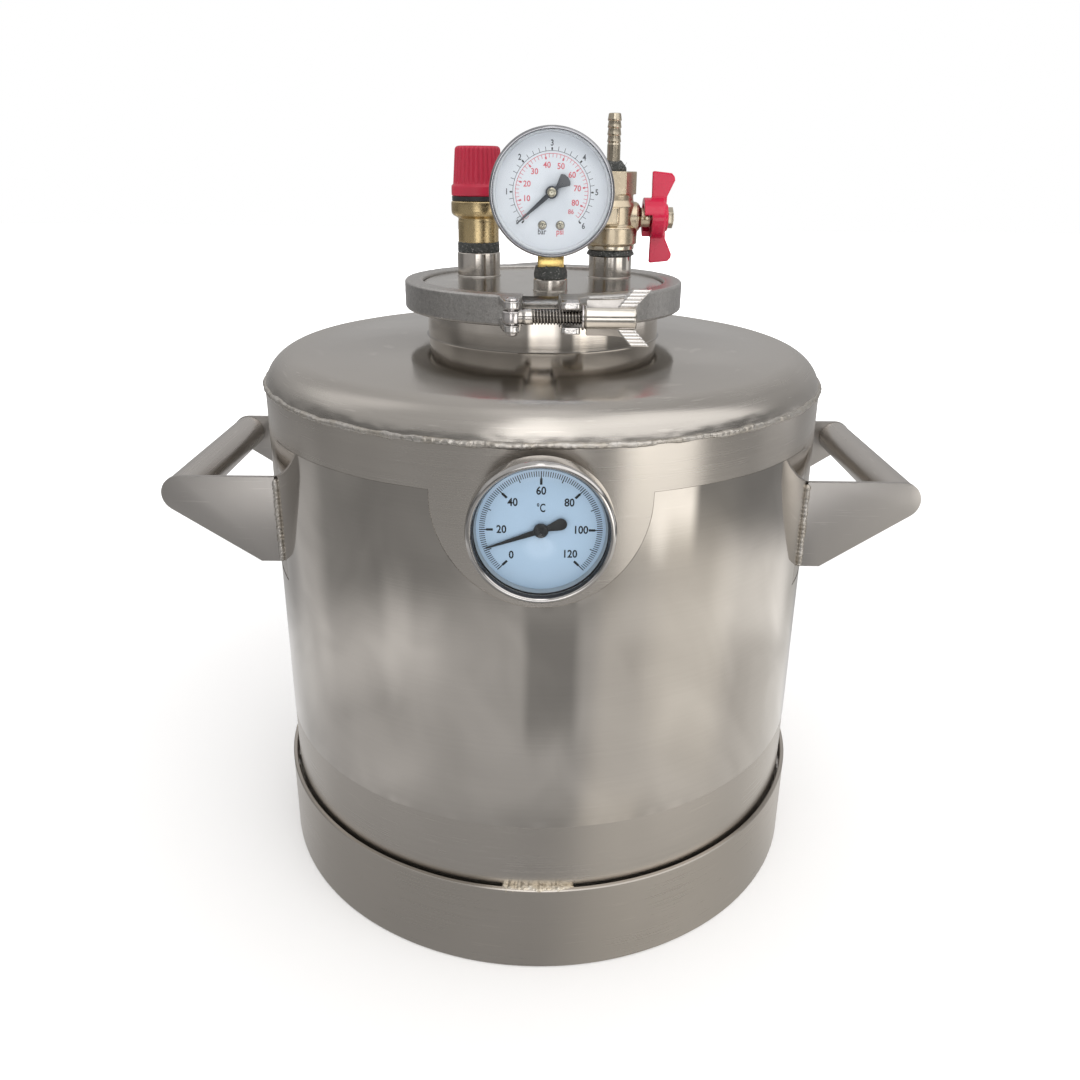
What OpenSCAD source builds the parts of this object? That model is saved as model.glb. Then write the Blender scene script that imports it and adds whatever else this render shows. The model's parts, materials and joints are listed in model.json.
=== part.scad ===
// Stainless pressure pot: a welded vessel with a clamped lid that carries a relief valve,
// a pressure gauge and a ball valve with a hose tail, and a dial thermometer in its side.
// Origin on the floor at the vessel axis, +Z up, dials face -Y (the front), +X to the right.

/* [Vessel] */
// Outside radius of the shell
shell_r = 166.8; // [166.5:0.1:167]
// Sheet thickness of shell and heads
sheet_t = 2; // [1.5:0.1:2.4]
// Height of the lower seam weld
seam_lo = 40; // [39:0.5:41]
// Height of the upper seam weld
seam_hi = 305; // [304:0.5:306]
// Crown radius of the dished heads
crown_r = 1355; // [1340:5:1370]
// Knuckle radius of the dished heads
knuckle_r = 22; // [21:0.5:23]
// Outside radius of the base ring
base_ring_r = 171; // [170.6:0.1:171.5]
// Height of the base ring
base_ring_h = 54; // [52:1:56]
// Lower edge of the protective film
film_z0 = 93; // [88:1:98]
// Upper edge of the protective film
film_z1 = 281; // [276:1:284]

/* [Handles] */
// Distance from the vessel's middle plane to the inside of a handle plate
plate_y = 65; // [62:1:70]
// Thickness of a handle plate
plate_t = 3; // [2.5:0.5:3.5]
// Distance of the grip tube from the vessel axis
grip_x = 209; // [205:1:212]
// Height of the grip tube
grip_z = 244.7; // [243:0.1:246]
// Outside diameter of the grip tube
grip_d = 21.3; // [20:0.1:21.6]

/* [Neck and clamp] */
// Outside diameter of the neck tube
neck_d = 139.7; // [139:0.1:140]
// Outside diameter of the ferrule rims
ferrule_d = 155; // [154.8:0.1:155.2]
// Height of the gasket's middle plane
mid_z = 353.3; // [352.8:0.1:354]
// Outside radius of the clamp ring
clamp_r = 82.8; // [82.5:0.1:83.5]
// Half height of the clamp ring
clamp_half_h = 8.2; // [8:0.1:8.4]
// Distance of the rear hinge pin from the vessel axis
hinge_y = 88; // [87.8:0.1:88.5]
// Distance of the clamp bolt from the vessel axis
bolt_y = 99; // [98:0.5:100]
// Radius of the clamp bolt
bolt_r = 3.97; // [3.9:0.01:3.98]
// Pitch of the clamp bolt's thread
bolt_pitch = 1.6; // [1.5:0.05:1.65]

/* [Relief valve] */
// Position of the relief valve, left of the axis
relief_x = -40.5; // [-41:0.5:-40]
// Position of the relief valve and ball valve, behind the axis
rear_y = 26; // [25:0.5:27]
// Outside diameter of the rear sockets
socket_d = 26.6; // [26.4:0.1:27]
// Number of flutes on the relief cap
cap_flutes = 30; // [24:2:36]

/* [Pressure gauge] */
// Gauge axis, right of the vessel axis
gauge_x = 4; // [3:0.5:5]
// Gauge stem, in front of the vessel axis
gauge_y = -45; // [-46:0.5:-44]
// Height of the gauge axis
gauge_z = 412; // [411:0.5:413]
// Outside radius of the gauge bezel
gauge_r = 33.1; // [33:0.1:33.5]
// Teeth on the gauge pinion
pinion_teeth = 12; // [12:1:12]
// Teeth on the full sector circle
sector_teeth = 108; // [108:1:108]
// Distance between pinion and sector pivots
gear_spacing = 20; // [20:1:20]

/* [Ball valve] */
// Position of the ball valve, right of the axis
valve_x = 41.8; // [41.5:0.1:42.5]
// Height of the ball's centre
ball_z = 395.5; // [395.3:0.1:395.7]
// Radius of the ball
ball_r = 7.5; // [7.4:0.1:7.6]
// Across-flats size of the valve's hexagon
hex_af = 25.5; // [25:0.5:26]

/* [Thermometer] */
// Height of the thermometer axis
thermo_z = 271; // [270:0.5:272]
// Front plane of the thermometer bezel, in front of the axis
thermo_front = 190; // [189:0.5:191]
// Outside radius of the thermometer bezel
thermo_r = 34.2; // [34:0.1:34.5]
// Length of the probe inside the vessel
probe_len = 50; // [45:1:55]

/* [Hidden] */
$fn = 96;
// gap that keeps neighbouring pieces apart, and the looser one round pivots and the bolt
gap = 0.05;
pivot_gap = 0.06;

// colours
steel = [0.62, 0.60, 0.58];
cast = [0.45, 0.44, 0.43];
shiny = [0.78, 0.76, 0.73];
brass = [0.72, 0.56, 0.25];
nickel = [0.66, 0.60, 0.48];
putty = [0.22, 0.25, 0.25];
glass = [0.9, 0.94, 0.95, 0.35];

// ---------- helpers ----------
// Lathe profiles are [radius, height] along the part's own axis.
module lathe(profile) { rotate_extrude() polygon(profile); }
module disc(r, z0, z1) { translate([0, 0, z0]) cylinder(r = r, h = z1 - z0); }
module tube(outer_r, inner_r, z0, z1) {
  difference() {
    disc(outer_r, z0, z1);
    disc(inner_r, z0 - 1, z1 + 1);
  }
}
module block(low, high) { translate(low) cube(high - low); }
// local +Z turned to point out of the dials, towards -Y
module facing(x, y, z) { translate([x, y, z]) rotate([90, 0, 0]) children(); }
// local +Z turned to point along +X
module sideways(x, y, z) { translate([x, y, z]) rotate([0, 90, 0]) children(); }
module both_sides() { for (side = [0, 1]) mirror([side, 0, 0]) children(); }
function arc(centre, r, from, to, steps) =
  [for (i = [0:steps]) let (a = from + (to - from) * i / steps) centre + r * [cos(a), sin(a)]];

// places of the fittings
module at_relief() { translate([relief_x, rear_y, 0]) children(); }
module at_valve() { translate([valve_x, rear_y, 0]) children(); }
module at_gauge() { translate([gauge_x, gauge_y, 0]) children(); }
// dial axes: y is a place along Y, distance is measured forwards from the vessel axis
module gauge(y) { facing(gauge_x, y, gauge_z) children(); }
module thermo(distance = 0) { facing(0, -distance, thermo_z) children(); }

// ---------- vessel ----------
// upper head: the crown's centre height, and the centre of the knuckle circle
crown_z = 330.8 - crown_r;
knuckle_x = shell_r - 21.6;
knuckle_z = crown_z + sqrt(pow(crown_r - knuckle_r, 2) - knuckle_x * knuckle_x);
base_ring_wall = 2.6;
tack_half_w = 19;
thermo_socket_r = 13.3;

// half section of a solid head, its surface moved in by inset
module head_half(inset) {
  crown_in = crown_r - inset;
  // radius where the crown meets the knuckle
  tangent_x = knuckle_x * crown_in / (crown_r - knuckle_r);
  intersection() {
    translate([0, crown_z]) circle(r = crown_in, $fn = 720);
    translate([0, seam_hi]) square([tangent_x, 60]);
  }
  intersection() {
    translate([knuckle_x, knuckle_z]) circle(r = knuckle_r - inset, $fn = 180);
    translate([100, seam_hi]) square([100, 60]);
  }
}
module dished_head() {
  difference() {
    rotate_extrude($fn = 360) head_half(0);
    rotate_extrude($fn = 360) head_half(sheet_t);
  }
}
// turns a part of the upper seam over onto the lower seam
module to_lower_seam() { translate([0, 0, seam_lo + seam_hi]) mirror([0, 0, 1]) children(); }
module vessel_shell() color(steel) difference() {
  tube(shell_r, shell_r - sheet_t, seam_lo, seam_hi, $fn = 360);
  thermo() disc(thermo_socket_r + gap, 120, 200);
}
module top_head() color(steel) difference() {
  dished_head();
  disc(neck_d / 2 + gap, 300, 340);
}
module bottom_head() color(steel) to_lower_seam() dished_head();
module seam_bead(height) {
  inner_r = shell_r + gap;
  lathe(concat([[inner_r, seam_hi - 2.5]],
    arc([inner_r, seam_hi + 0.3], height, -80, 75, 7),
    [[shell_r - 0.55, seam_hi + 3.2], [inner_r, seam_hi + 0.6]]), $fn = 360);
}
module seam_weld_beads() color(shiny) {
  seam_bead(1.9);
  to_lower_seam() seam_bead(1.2);
}
module base_ring() color(steel)
  tube(base_ring_r, base_ring_r - base_ring_wall, 0, base_ring_h, $fn = 360);
// four short welds between shell and base ring, at front, back, left and right
module base_ring_tacks() color([0.7, 0.62, 0.5]) intersection() {
  tube(base_ring_r - base_ring_wall - gap, shell_r + gap, base_ring_h - 3, base_ring_h,
    $fn = 360);
  union() {
    block([-tack_half_w, -180, base_ring_h - 4], [tack_half_w, 180, base_ring_h + 1]);
    block([-180, -tack_half_w, base_ring_h - 4], [180, tack_half_w, base_ring_h + 1]);
  }
}
// film with a round window at the thermometer and a square one at each handle
module protective_film() color([0.70, 0.69, 0.68]) difference() {
  tube(shell_r + 0.2, shell_r + 0.04, film_z0, film_z1, $fn = 360);
  facing(0, 0, 277.6) disc(53.6, 100, 200);
  both_sides() block([100, -78, 195], [200, 78, 300]);
}

// ---------- handles ----------
// lower outer corner at the plate's foot, and the rounding round the grip
foot_x = 165.5;
foot_z = 203;
plate_end_r = 11;
plate_mid_y = plate_y + plate_t / 2;
// direction from the grip to where the plate's lower edge meets the rounding
foot_to_grip = [grip_x - foot_x, grip_z - foot_z];
tangent_a = atan2(foot_to_grip[1], foot_to_grip[0])
  - asin(plate_end_r / norm(foot_to_grip)) - 90;

module plate_2d() {
  grip = [grip_x, grip_z];
  translate(grip) circle(r = plate_end_r);
  polygon([[140, foot_z], [foot_x, foot_z],
    grip + plate_end_r * [cos(tangent_a), sin(tangent_a)],
    grip, [grip_x, grip_z + plate_end_r], [140, grip_z + plate_end_r]]);
}
module shell_cutter() { disc(shell_r + gap, 190, 270, $fn = 360); }
module handle_plates() color(steel) difference() {
  both_sides() for (side = [-1, 1])
    translate([0, side * plate_mid_y + plate_t / 2, 0]) rotate([90, 0, 0])
      linear_extrude(plate_t) plate_2d();
  shell_cutter();
}
module handle_grips() color(steel) for (side = [-1, 1])
  facing(side * grip_x, plate_y - gap, grip_z)
    tube(grip_d / 2, grip_d / 2 - 2, 0, 2 * (plate_y - gap));
// upright beads along both faces of every plate
module handle_weld_beads() color(shiny) difference() {
  for (side_x = [-1, 1], side_y = [-1, 1], y = [plate_y, plate_y + plate_t])
    translate([side_x * sqrt(shell_r * shell_r - y * y), side_y * y, foot_z + 1])
      cylinder(r = 2.3, h = grip_z + 10 - foot_z);
  shell_cutter();
  for (side = [-1, 1])
    block([-180, side * plate_mid_y - plate_t / 2 - gap, 190],
      [180, side * plate_mid_y + plate_t / 2 + gap, 270]);
}

// ---------- neck, gasket and lid ----------
neck_r = neck_d / 2;
neck_bore_r = neck_r - 2;
ferrule_r = ferrule_d / 2;
// half thickness of the gasket; the ferrule ends below it and the lid starts above it
gasket_h = 0.9;
ferrule_top = mid_z - gasket_h;
lid_z0 = mid_z + gasket_h;
// rims are rim_t thick at the edge and slope at 20 degrees towards the axis
rim_t = 2.85;
rim_slope = tan(20);
lid_edge_r = 70;
lid_top = lid_z0 + rim_t + (ferrule_r - lid_edge_r) * rim_slope;
// bores for the two rear fittings and for the gauge stem
large_bore_r = 10.45;
small_bore_r = 6.55;
relief_socket_top = 374.2;
valve_socket_top = relief_socket_top - 1.2;
gauge_socket_top = 366.5;

// gasket groove from the inside out; inset narrows it for the rib that sits in it
function groove(z, depth, inset = 0) =
  [[71.4 + inset, z], [71.9 + inset, z + depth], [74.1 - inset, z + depth], [74.6 - inset, z]];
groove_depth = 0.8;
rib_h = 0.72;

module neck_ferrule() color(steel) lathe(concat(
  [[neck_bore_r, 326.5], [neck_bore_r, ferrule_top]], groove(ferrule_top, -groove_depth),
  [[ferrule_r, ferrule_top], [ferrule_r, ferrule_top - rim_t],
  [neck_r, ferrule_top - rim_t - (ferrule_r - neck_r) * rim_slope], [neck_r, 326.5]]),
  $fn = 240);
module clamp_gasket() color([0.12, 0.12, 0.12]) {
  inner_r = neck_bore_r + 0.1;
  outer_r = 76.9;
  upper_rib = groove(lid_z0, rib_h, 0.1);
  lathe(concat([[inner_r, ferrule_top]], groove(ferrule_top, -rib_h, 0.1),
    [[outer_r, ferrule_top], [outer_r, lid_z0]],
    [for (i = [3:-1:0]) upper_rib[i]], [[inner_r, lid_z0]]), $fn = 240);
}
module lid_bore(r) { disc(r, lid_z0 - 5, lid_top + 5); }
module lid_plate() color(steel) difference() {
  lathe(concat([[0, lid_z0]], groove(lid_z0, groove_depth),
    [[ferrule_r, lid_z0], [ferrule_r, lid_z0 + rim_t], [lid_edge_r, lid_top], [0, lid_top]]),
    $fn = 240);
  at_relief() lid_bore(large_bore_r);
  at_valve() lid_bore(large_bore_r);
  at_gauge() lid_bore(small_bore_r);
}
module socket(outer_r, bore_r, top) {
  height = top - lid_top;
  difference() {
    translate([0, 0, lid_top]) lathe([[0, 0], [outer_r - 0.4, 0], [outer_r, 0.4],
      [outer_r, height - 0.5], [outer_r - 0.5, height], [0, height]]);
    disc(bore_r, lid_top - 1, top + 1);
  }
}
module relief_socket() color(steel)
  at_relief() socket(socket_d / 2, large_bore_r, relief_socket_top);
module valve_socket() color(steel)
  at_valve() socket(socket_d / 2, large_bore_r, valve_socket_top);
module gauge_socket() color(steel) at_gauge() socket(9.4, small_bore_r, gauge_socket_top);

// ---------- clamp ----------
// radii of the clamp's inner groove and lips
clamp_groove_r = ferrule_r + 0.4;
lip_r = 72.3;
// pin of the swing bolt, and the face where the nut starts
bolt_pin_x = -15.8;
bolt_pin_r = 2;
nut_x = 20.9;
// half heights of the front ears, and of the slots between the lugs of each half
ear_half_h = 8;
left_slot = 3;
right_slot = 2.7;
hinge_pin_r = 3;
// the bolt's thread, measured from its shank's start
thread_start = 5.4;
thread_depth = 0.75;
thread_turns = floor(51.2 / bolt_pitch);
thread_end = thread_start + thread_turns * bolt_pitch;

module at_hinge() { translate([0, hinge_y, 0]) children(); }
module at_bolt_pin() { translate([bolt_pin_x, -bolt_y, 0]) children(); }
module clamp_section() {
  groove_h = gasket_h + rim_t + 0.12;
  lip_h = groove_h + (ferrule_r - lip_r) * rim_slope;
  root_h = groove_h - 0.4 * rim_slope;
  polygon([[clamp_r - 1, -clamp_half_h], [clamp_r, -clamp_half_h + 1],
    [clamp_r, clamp_half_h - 1], [clamp_r - 1, clamp_half_h],
    [lip_r + 1, clamp_half_h], [lip_r, clamp_half_h - 0.8], [lip_r, lip_h],
    [clamp_groove_r, root_h], [clamp_groove_r, -root_h],
    [lip_r, -lip_h], [lip_r, 0.8 - clamp_half_h], [lip_r + 1, -clamp_half_h]]);
}
// the part of the ring right of the axis, or left of it when left = 1
module ring_half(left, front_x) {
  intersection() {
    translate([0, 0, mid_z]) rotate_extrude($fn = 240) clamp_section();
    mirror([left, 0, 0]) union() {
      block([front_x, -100, 330], [100, 0, 380]);
      block([0.8, -0.1, 330], [100, 100, 380]);
    }
  }
}
module lug(z0, z1) { translate([0, 0, mid_z + z0]) linear_extrude(z1 - z0) children(); }
// the same outline above and below the middle plane
module lug_pair(z0, z1) {
  lug(z0, z1) children();
  lug(-z1, -z0) children();
}
module rear_lug_2d(side) {
  translate([0, hinge_y]) circle(r = 6.5);
  polygon([[0, hinge_y + 6.5], [side * 12, hinge_y + 1.5], [side * 22, 79.2],
    [side * 10, 79], [0, hinge_y - 6.5]]);
}
module left_ear_2d() {
  ear_r = 4.1;
  translate([bolt_pin_x, -bolt_y]) circle(r = ear_r);
  polygon([[bolt_pin_x - ear_r, -bolt_y], [bolt_pin_x + ear_r, -bolt_y],
    [bolt_pin_x + ear_r, -78], [bolt_pin_x - 7, -78], [bolt_pin_x - 7, -84]]);
}
module right_ear_2d() {
  for (x = [11.1, 16.9]) translate([x, -bolt_y - 3]) circle(r = 2);
  polygon([[11.1, -bolt_y - 5], [16.9, -bolt_y - 5], [18.9, -bolt_y - 3], [18.9, -86],
    [24, -80], [9.1, -80], [9.1, -bolt_y - 3]]);
}
// clears the lugs from the space inside the ring
module ring_space() { disc(79, 330, 380); }
module clamp_half_left() color(cast) difference() {
  union() {
    ring_half(1, 11);
    difference() {
      union() {
        lug_pair(left_slot, clamp_half_h) rear_lug_2d(-1);
        lug_pair(4, ear_half_h) left_ear_2d();
      }
      ring_space();
    }
  }
  at_hinge() disc(7, mid_z - left_slot, mid_z + left_slot);
  at_hinge() disc(hinge_pin_r + 0.02, 330, 380);
  at_bolt_pin() disc(bolt_pin_r + 0.02, 330, 380);
}
module clamp_half_right() color(cast) difference() {
  union() {
    ring_half(0, 8.3);
    difference() {
      union() {
        lug(-right_slot, right_slot) rear_lug_2d(1);
        lug_pair(4.4, ear_half_h) right_ear_2d();
      }
      ring_space();
    }
  }
  at_hinge() disc(7, mid_z + right_slot, mid_z + 12);
  at_hinge() disc(7, mid_z - 12, mid_z - right_slot);
  at_hinge() disc(hinge_pin_r + pivot_gap, 330, 380);
}
// pin with a head at each end, centred on the gasket's middle plane
module headed_pin(r, head_r, half_len, head_h) {
  translate([0, 0, mid_z]) {
    translate([0, 0, -half_len - head_h]) cylinder(r = head_r, h = head_h - gap);
    translate([0, 0, half_len + gap]) cylinder(r = head_r, h = head_h - gap);
    translate([0, 0, -half_len - head_h / 2]) cylinder(r = r, h = 2 * half_len + head_h);
  }
}
module clamp_hinge_pin() color(shiny)
  at_hinge() headed_pin(hinge_pin_r, 4.4, clamp_half_h, 1.6);
module clamp_bolt_pin() color(shiny)
  at_bolt_pin() headed_pin(bolt_pin_r, 3.2, ear_half_h, 2.6);
// eye bolt, its threaded shank pointing right
module clamp_swing_bolt() color(shiny) difference() {
  union() {
    at_bolt_pin() disc(5.1, mid_z - 3, mid_z + 3);
    sideways(bolt_pin_x + 3.6, -bolt_y, mid_z)
      lathe(concat([[0, 0], [3.6, 0], [3.6, 2], [bolt_r, 3]],
        [for (i = [0:thread_turns - 1], crest = [0, 1])
          [bolt_r - thread_depth * (1 - crest),
            thread_start + i * bolt_pitch + crest * bolt_pitch / 2]],
        [[bolt_r - thread_depth, thread_end], [0, thread_end]]));
  }
  at_bolt_pin() disc(bolt_pin_r + pivot_gap, 330, 380);
}
module clamp_nut_washer() color(shiny) sideways(nut_x - 1.3, -bolt_y, mid_z) difference() {
  cylinder(r = 6.3, h = 1.2);
  disc(bolt_r + pivot_gap, -1, 4);
}
module clamp_wing_nut() color(shiny) difference() {
  union() {
    sideways(nut_x, -bolt_y, mid_z)
      lathe([[0, 0], [5.6, 0], [6.05, 0.5], [6.05, 25.6], [5.5, 26.2], [0, 26.2]]);
    // wings above and below, outline in [x, height above the bolt]
    for (below = [0, 1]) translate([0, -bolt_y, mid_z]) mirror([0, 0, below])
      facing(0, 3.5, 0) linear_extrude(7)
        polygon([[nut_x + 2, 3], [nut_x + 2, 5.8], [37.5, 7.4], [44, 14.4], [54.4, 14.4],
          [nut_x + 26, 5], [nut_x + 26, 3]]);
  }
  sideways(nut_x - 1, -bolt_y, mid_z) cylinder(r = bolt_r + pivot_gap, h = 40);
}

// ---------- thread sealant ----------
// top of the valve's hexagon, where the hose tail comes out
valve_top = 422.2;

// uneven collar of paste, its top narrower by taper
module paste(inner_r, outer_r, z0, z1, taper) {
  height = z1 - z0;
  difference() {
    translate([0, 0, z0]) lathe([[0, 0], [outer_r - 0.4, 0], [outer_r, 0.8],
      [outer_r - 0.3, height * 0.5], [outer_r - 0.1, height * 0.7],
      [outer_r - taper, height], [0, height]]);
    disc(inner_r, z0 - 1, z1 + 1);
  }
}
module thread_sealant() color(putty) {
  at_relief() paste(10.4, 12.9, relief_socket_top + gap, 380, 0.6);
  at_valve() paste(10.4, 14.6, valve_socket_top + gap, 376.2, 1.4);
  at_gauge() paste(6.5, 9.1, gauge_socket_top + gap, 373, 0.9);
  at_valve() paste(4.1, 8.2, valve_top, 428, 3.4);
}

// ---------- relief valve ----------
seat_z = 385;
seat_top = seat_z + 2;
relief_rim_z = 404.5;
cap_z = 407.3;
spring_turns = 5;
spring_pitch = 2.5;

module relief_body() color(brass) at_relief() lathe([[5, 362], [9.8, 362], [10.35, 363],
  [10.35, 380], [12.5, 380], [12.5, 393.6], [16.45, 397], [16.45, 403.8],
  [15.9, relief_rim_z], [11, relief_rim_z], [11, 388], [8.4, 384.4], [6.4, 384.4],
  [6.4, seat_z], [5, seat_z]]);
module relief_seat_seal() color([0.1, 0.1, 0.1]) at_relief() disc(7.2, seat_z, seat_top);
module relief_stem() color(brass) at_relief() lathe([[0, seat_top], [7.6, seat_top],
  [7.6, 389], [3.2, 389], [3.2, 391], [2.5, 391], [2.5, 421], [4.5, 421],
  [4.5, 423], [2, 423.6], [2, 426], [0, 426]]);
// spring as a stack of separate rings
module relief_spring() color([0.5, 0.5, 0.52]) at_relief() for (i = [0:spring_turns - 1])
  translate([0, 0, 390 + i * spring_pitch])
    rotate_extrude() translate([6, 0]) circle(r = 0.8, $fn = 24);
module relief_bonnet() color(brass) at_relief() lathe([[2.56, 401.4], [10.9, 401.4],
  [10.9, 404.3], [10.2, 404.45], [10.2, 414], [9, 415], [2.56, 415]]);
module relief_collar() color([0.08, 0.08, 0.08])
  at_relief() tube(16, 10.3, relief_rim_z, 407.2);
module relief_cap() color([0.78, 0.07, 0.2]) at_relief() difference() {
  translate([0, 0, cap_z]) lathe([[0, 0], [16, 0], [16.2, 0.6], [16.2, 5.4], [15.3, 6.4],
    [15, 6.4], [13.75, 26.6], [12.6, 28.3], [11.4, 28.6], [0, 28.6]]);
  disc(11, 406, 429);
  // flutes follow the cap's tapered side
  for (i = [0:cap_flutes - 1]) rotate([0, 0, i * 360 / cap_flutes])
    translate([15.15, 0, 414.6]) rotate([0, -3.6, 0]) cylinder(r = 0.62, h = 30, $fn = 16);
}

// ---------- pressure gauge ----------
// places along Y, front to back
gauge_front = -62;
dial_y = -54.2;
movement_y = -43.5;
gear_module = 2 * gear_spacing / (pinion_teeth + sector_teeth);
arbor_r = 0.9;
pivot_r = 1.2;

module at_dial_screws() { for (side = [-1, 1]) translate([side * 4.8, -16.8, 0]) children(); }
module gauge_case() color([0.2, 0.2, 0.22]) difference() {
  gauge(-33) lathe([[0, 0], [28, 0], [31.5, 3], [31.5, 24.5], [30.5, 24.5], [30.5, 3.6],
    [27.6, 1], [0, 1]]);
  at_gauge() block([-7.6, -7.6, 370], [7.6, 7.6, 392]);
}
module gauge_bezel() color([0.35, 0.36, 0.38]) gauge(gauge_front) lathe([
  [gauge_r - 1.1, -11], [gauge_r - 0.5, -11], [gauge_r, -10.3], [gauge_r, -2.2],
  [gauge_r - 0.7, -0.6], [gauge_r - 1.6, 0], [gauge_r - 2.1, -0.5],
  [30.8, -1.4], [30.8, -2], [gauge_r - 1.1, -2]], $fn = 180);
module gauge_lens() color(glass) gauge(gauge_front) disc(31.8, -3.6, -2.1);
module gauge_dial() color([0.93, 0.94, 0.96]) gauge(dial_y) difference() {
  disc(30.3, 0, 0.6);
  disc(3, -1, 2);
  at_dial_screws() disc(1.1, -1, 2);
}
// domed screws with crossed slots
module gauge_dial_screws() color(brass) gauge(dial_y - 0.6) at_dial_screws() difference() {
  union() {
    lathe([[0, 0], [2.1, 0], [2.1, 0.4], [1.6, 0.9], [0, 1.1]]);
    translate([0, 0, -4.8]) cylinder(r = 1.05, h = 5);
  }
  translate([-0.8, -0.15, 0.7]) cube([1.6, 0.3, 1]);
  translate([-0.15, -0.8, 0.7]) cube([0.3, 1.6, 1]);
}
// rest pose: pointer 131 degrees anticlockwise of the top, just above zero (zero is at 135)
module gauge_pointer() color([0.25, 0.26, 0.28]) gauge(-56.4) difference() {
  rotate([0, 0, 131]) union() {
    linear_extrude(0.5) polygon([[-1.3, 0], [-0.3, 24.2], [0.3, 24.2], [1.3, 0],
      [1, -4.2], [3.6, -9.2], [2.4, -10.4], [0, -11], [-2.4, -10.4], [-3.6, -9.2],
      [-1, -4.2]]);
    translate([0, 0, -0.9]) cylinder(r = 3.3, h = 1.9);
  }
  disc(1.25, -3, 6);
}
// gear outline with straight-flanked teeth
module tooth_ring(teeth) {
  pitch_r = teeth * gear_module / 2;
  tip_r = pitch_r + 0.8 * gear_module;
  root_r = pitch_r - 1.15 * gear_module;
  thickness = 0.38;
  // one tooth: [radius, angle as a fraction of the tooth spacing]
  tooth = [[root_r, -0.36], [pitch_r, -thickness / 2], [tip_r, -thickness * 0.17],
    [tip_r, thickness * 0.17], [pitch_r, thickness / 2], [root_r, 0.36]];
  polygon([for (i = [0:teeth - 1], corner = tooth)
    let (a = (i + corner[1]) * 360 / teeth) corner[0] * [cos(a), sin(a)]]);
}
module gauge_pinion_arbor() color(brass) gauge(movement_y) {
  lathe([[0, -0.6], [arbor_r, -0.6], [arbor_r, 6.4], [pivot_r, 6.4], [pivot_r, 13.95],
    [2.4, 13.95], [2.2, 14.4], [1.4, 14.7], [0, 14.75]]);
  translate([0, 0, 3]) rotate([0, 0, 90 + 180 / pinion_teeth])
    linear_extrude(2) tooth_ring(pinion_teeth);
}
module gauge_sector_gear() color(brass)
  gauge(movement_y) translate([0, -gear_spacing, 0]) union() {
    translate([0, 0, 3.2]) linear_extrude(1.4) intersection() {
      tooth_ring(sector_teeth);
      rotate([0, 0, -0.1]) polygon([[0, 0], [22.24, 21.76], [0, 34], [-2.6, 24]]);
    }
    translate([0, 0, -0.4]) cylinder(r = pivot_r, h = 6.6);
    translate([0, 0, 3.2]) cylinder(r = 3.2, h = 1.4);
  }
// two plates on a pair of posts, bored for the pivots and the dial screws
module gauge_movement_frame() color(brass) gauge(movement_y) difference() {
  union() {
    for (z = [-1.6, 6.4]) translate([-9, -26, z]) cube([18, 32, 1]);
    for (side = [-1, 1])
      translate([side * 7.4, -24.4, -1]) cylinder(r = 1.3, h = 8, $fn = 24);
  }
  disc(arbor_r + pivot_gap, -3, 3);
  disc(pivot_r + pivot_gap, 5, 11);
  translate([0, -gear_spacing, 0]) disc(pivot_r + pivot_gap, -3, 9);
  at_dial_screws() disc(1.1, 6, 12);
}
module gauge_bourdon_tube() color([0.75, 0.58, 0.3]) gauge(-47)
  rotate([0, 0, -66]) rotate_extrude(angle = 270) translate([23.5, 0]) difference() {
    square([2.2, 7], center = true);
    square([1.2, 6], center = true);
  }
// round stem with a square block above it, its front cut back at the top
module gauge_stem() color(brass) at_gauge() difference() {
  union() {
    disc(6.45, 362, 373.1);
    block([-7.2, -7.2, 373], [7.2, 7.2, 385.6]);
  }
  block([-8, -8, 378.3], [8, -5.9, 390]);
  disc(2, 360, 384);
}

// ---------- ball valve and hose tail ----------
bore_r = 5;
// valve stem and the bore of its gland
valve_stem_r = 2.98;
gland_r = 3.05;
// where the handle's hub starts, right of the pipe axis
hub_x = 24.3;

// the stem's axis, from the ball towards +X
module stem_axis(x = 0) { sideways(x, 0, ball_z) children(); }
module valve_body() color(nickel) at_valve() difference() {
  union() {
    lathe([[0, 379.5], [15.2, 379.5], [16, 380.4], [16, 389.6], [14.4, 391.2], [14.4, 402],
      [13, 405.7], [12.8, 409.5], [0, 409.5]]);
    translate([0, 0, 409]) cylinder(r = hex_af / cos(30) / 2, h = valve_top - 409, $fn = 6);
    // bonnet towards the handle
    stem_axis(8) cylinder(r = 9.2, h = 7);
    stem_axis() lathe([[0, 14.8], [9, 14.8], [8.4, 16.2], [6.9, 17.2], [5.8, 17.6],
      [5.8, 23.6], [5.4, 24], [0, 24]]);
    // plain panel cast on the front
    block([-7, -15.4, 391.9], [3.4, -10, 401.9]);
    // pin that stops the handle
    facing(20.9, -4, ball_z) cylinder(r = 1.25, h = 6.4, $fn = 32);
  }
  disc(bore_r, 400, 415);
  disc(9.6, 376, 405.2);
  disc(6.6, 410.6, 430);
  stem_axis(5) cylinder(r = 4.1, h = 9);
  stem_axis(12) cylinder(r = gland_r, h = 30);
}
module valve_nipple() color(nickel) at_valve() lathe([[bore_r, 361], [9.8, 361],
  [10.35, 362], [10.35, 376.4], [14.5, 376.4], [14.5, 379.4], [9.55, 379.4],
  [9.55, 386.4], [bore_r, 386.4]]);
// ball with its bore upright and a slot for the stem
module valve_ball() color(shiny) at_valve() translate([0, 0, ball_z]) difference() {
  sphere(r = ball_r);
  disc(bore_r, -20, 20);
  translate([5.2, -7, -1.3]) cube([6, 14, 2.6]);
}
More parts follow.
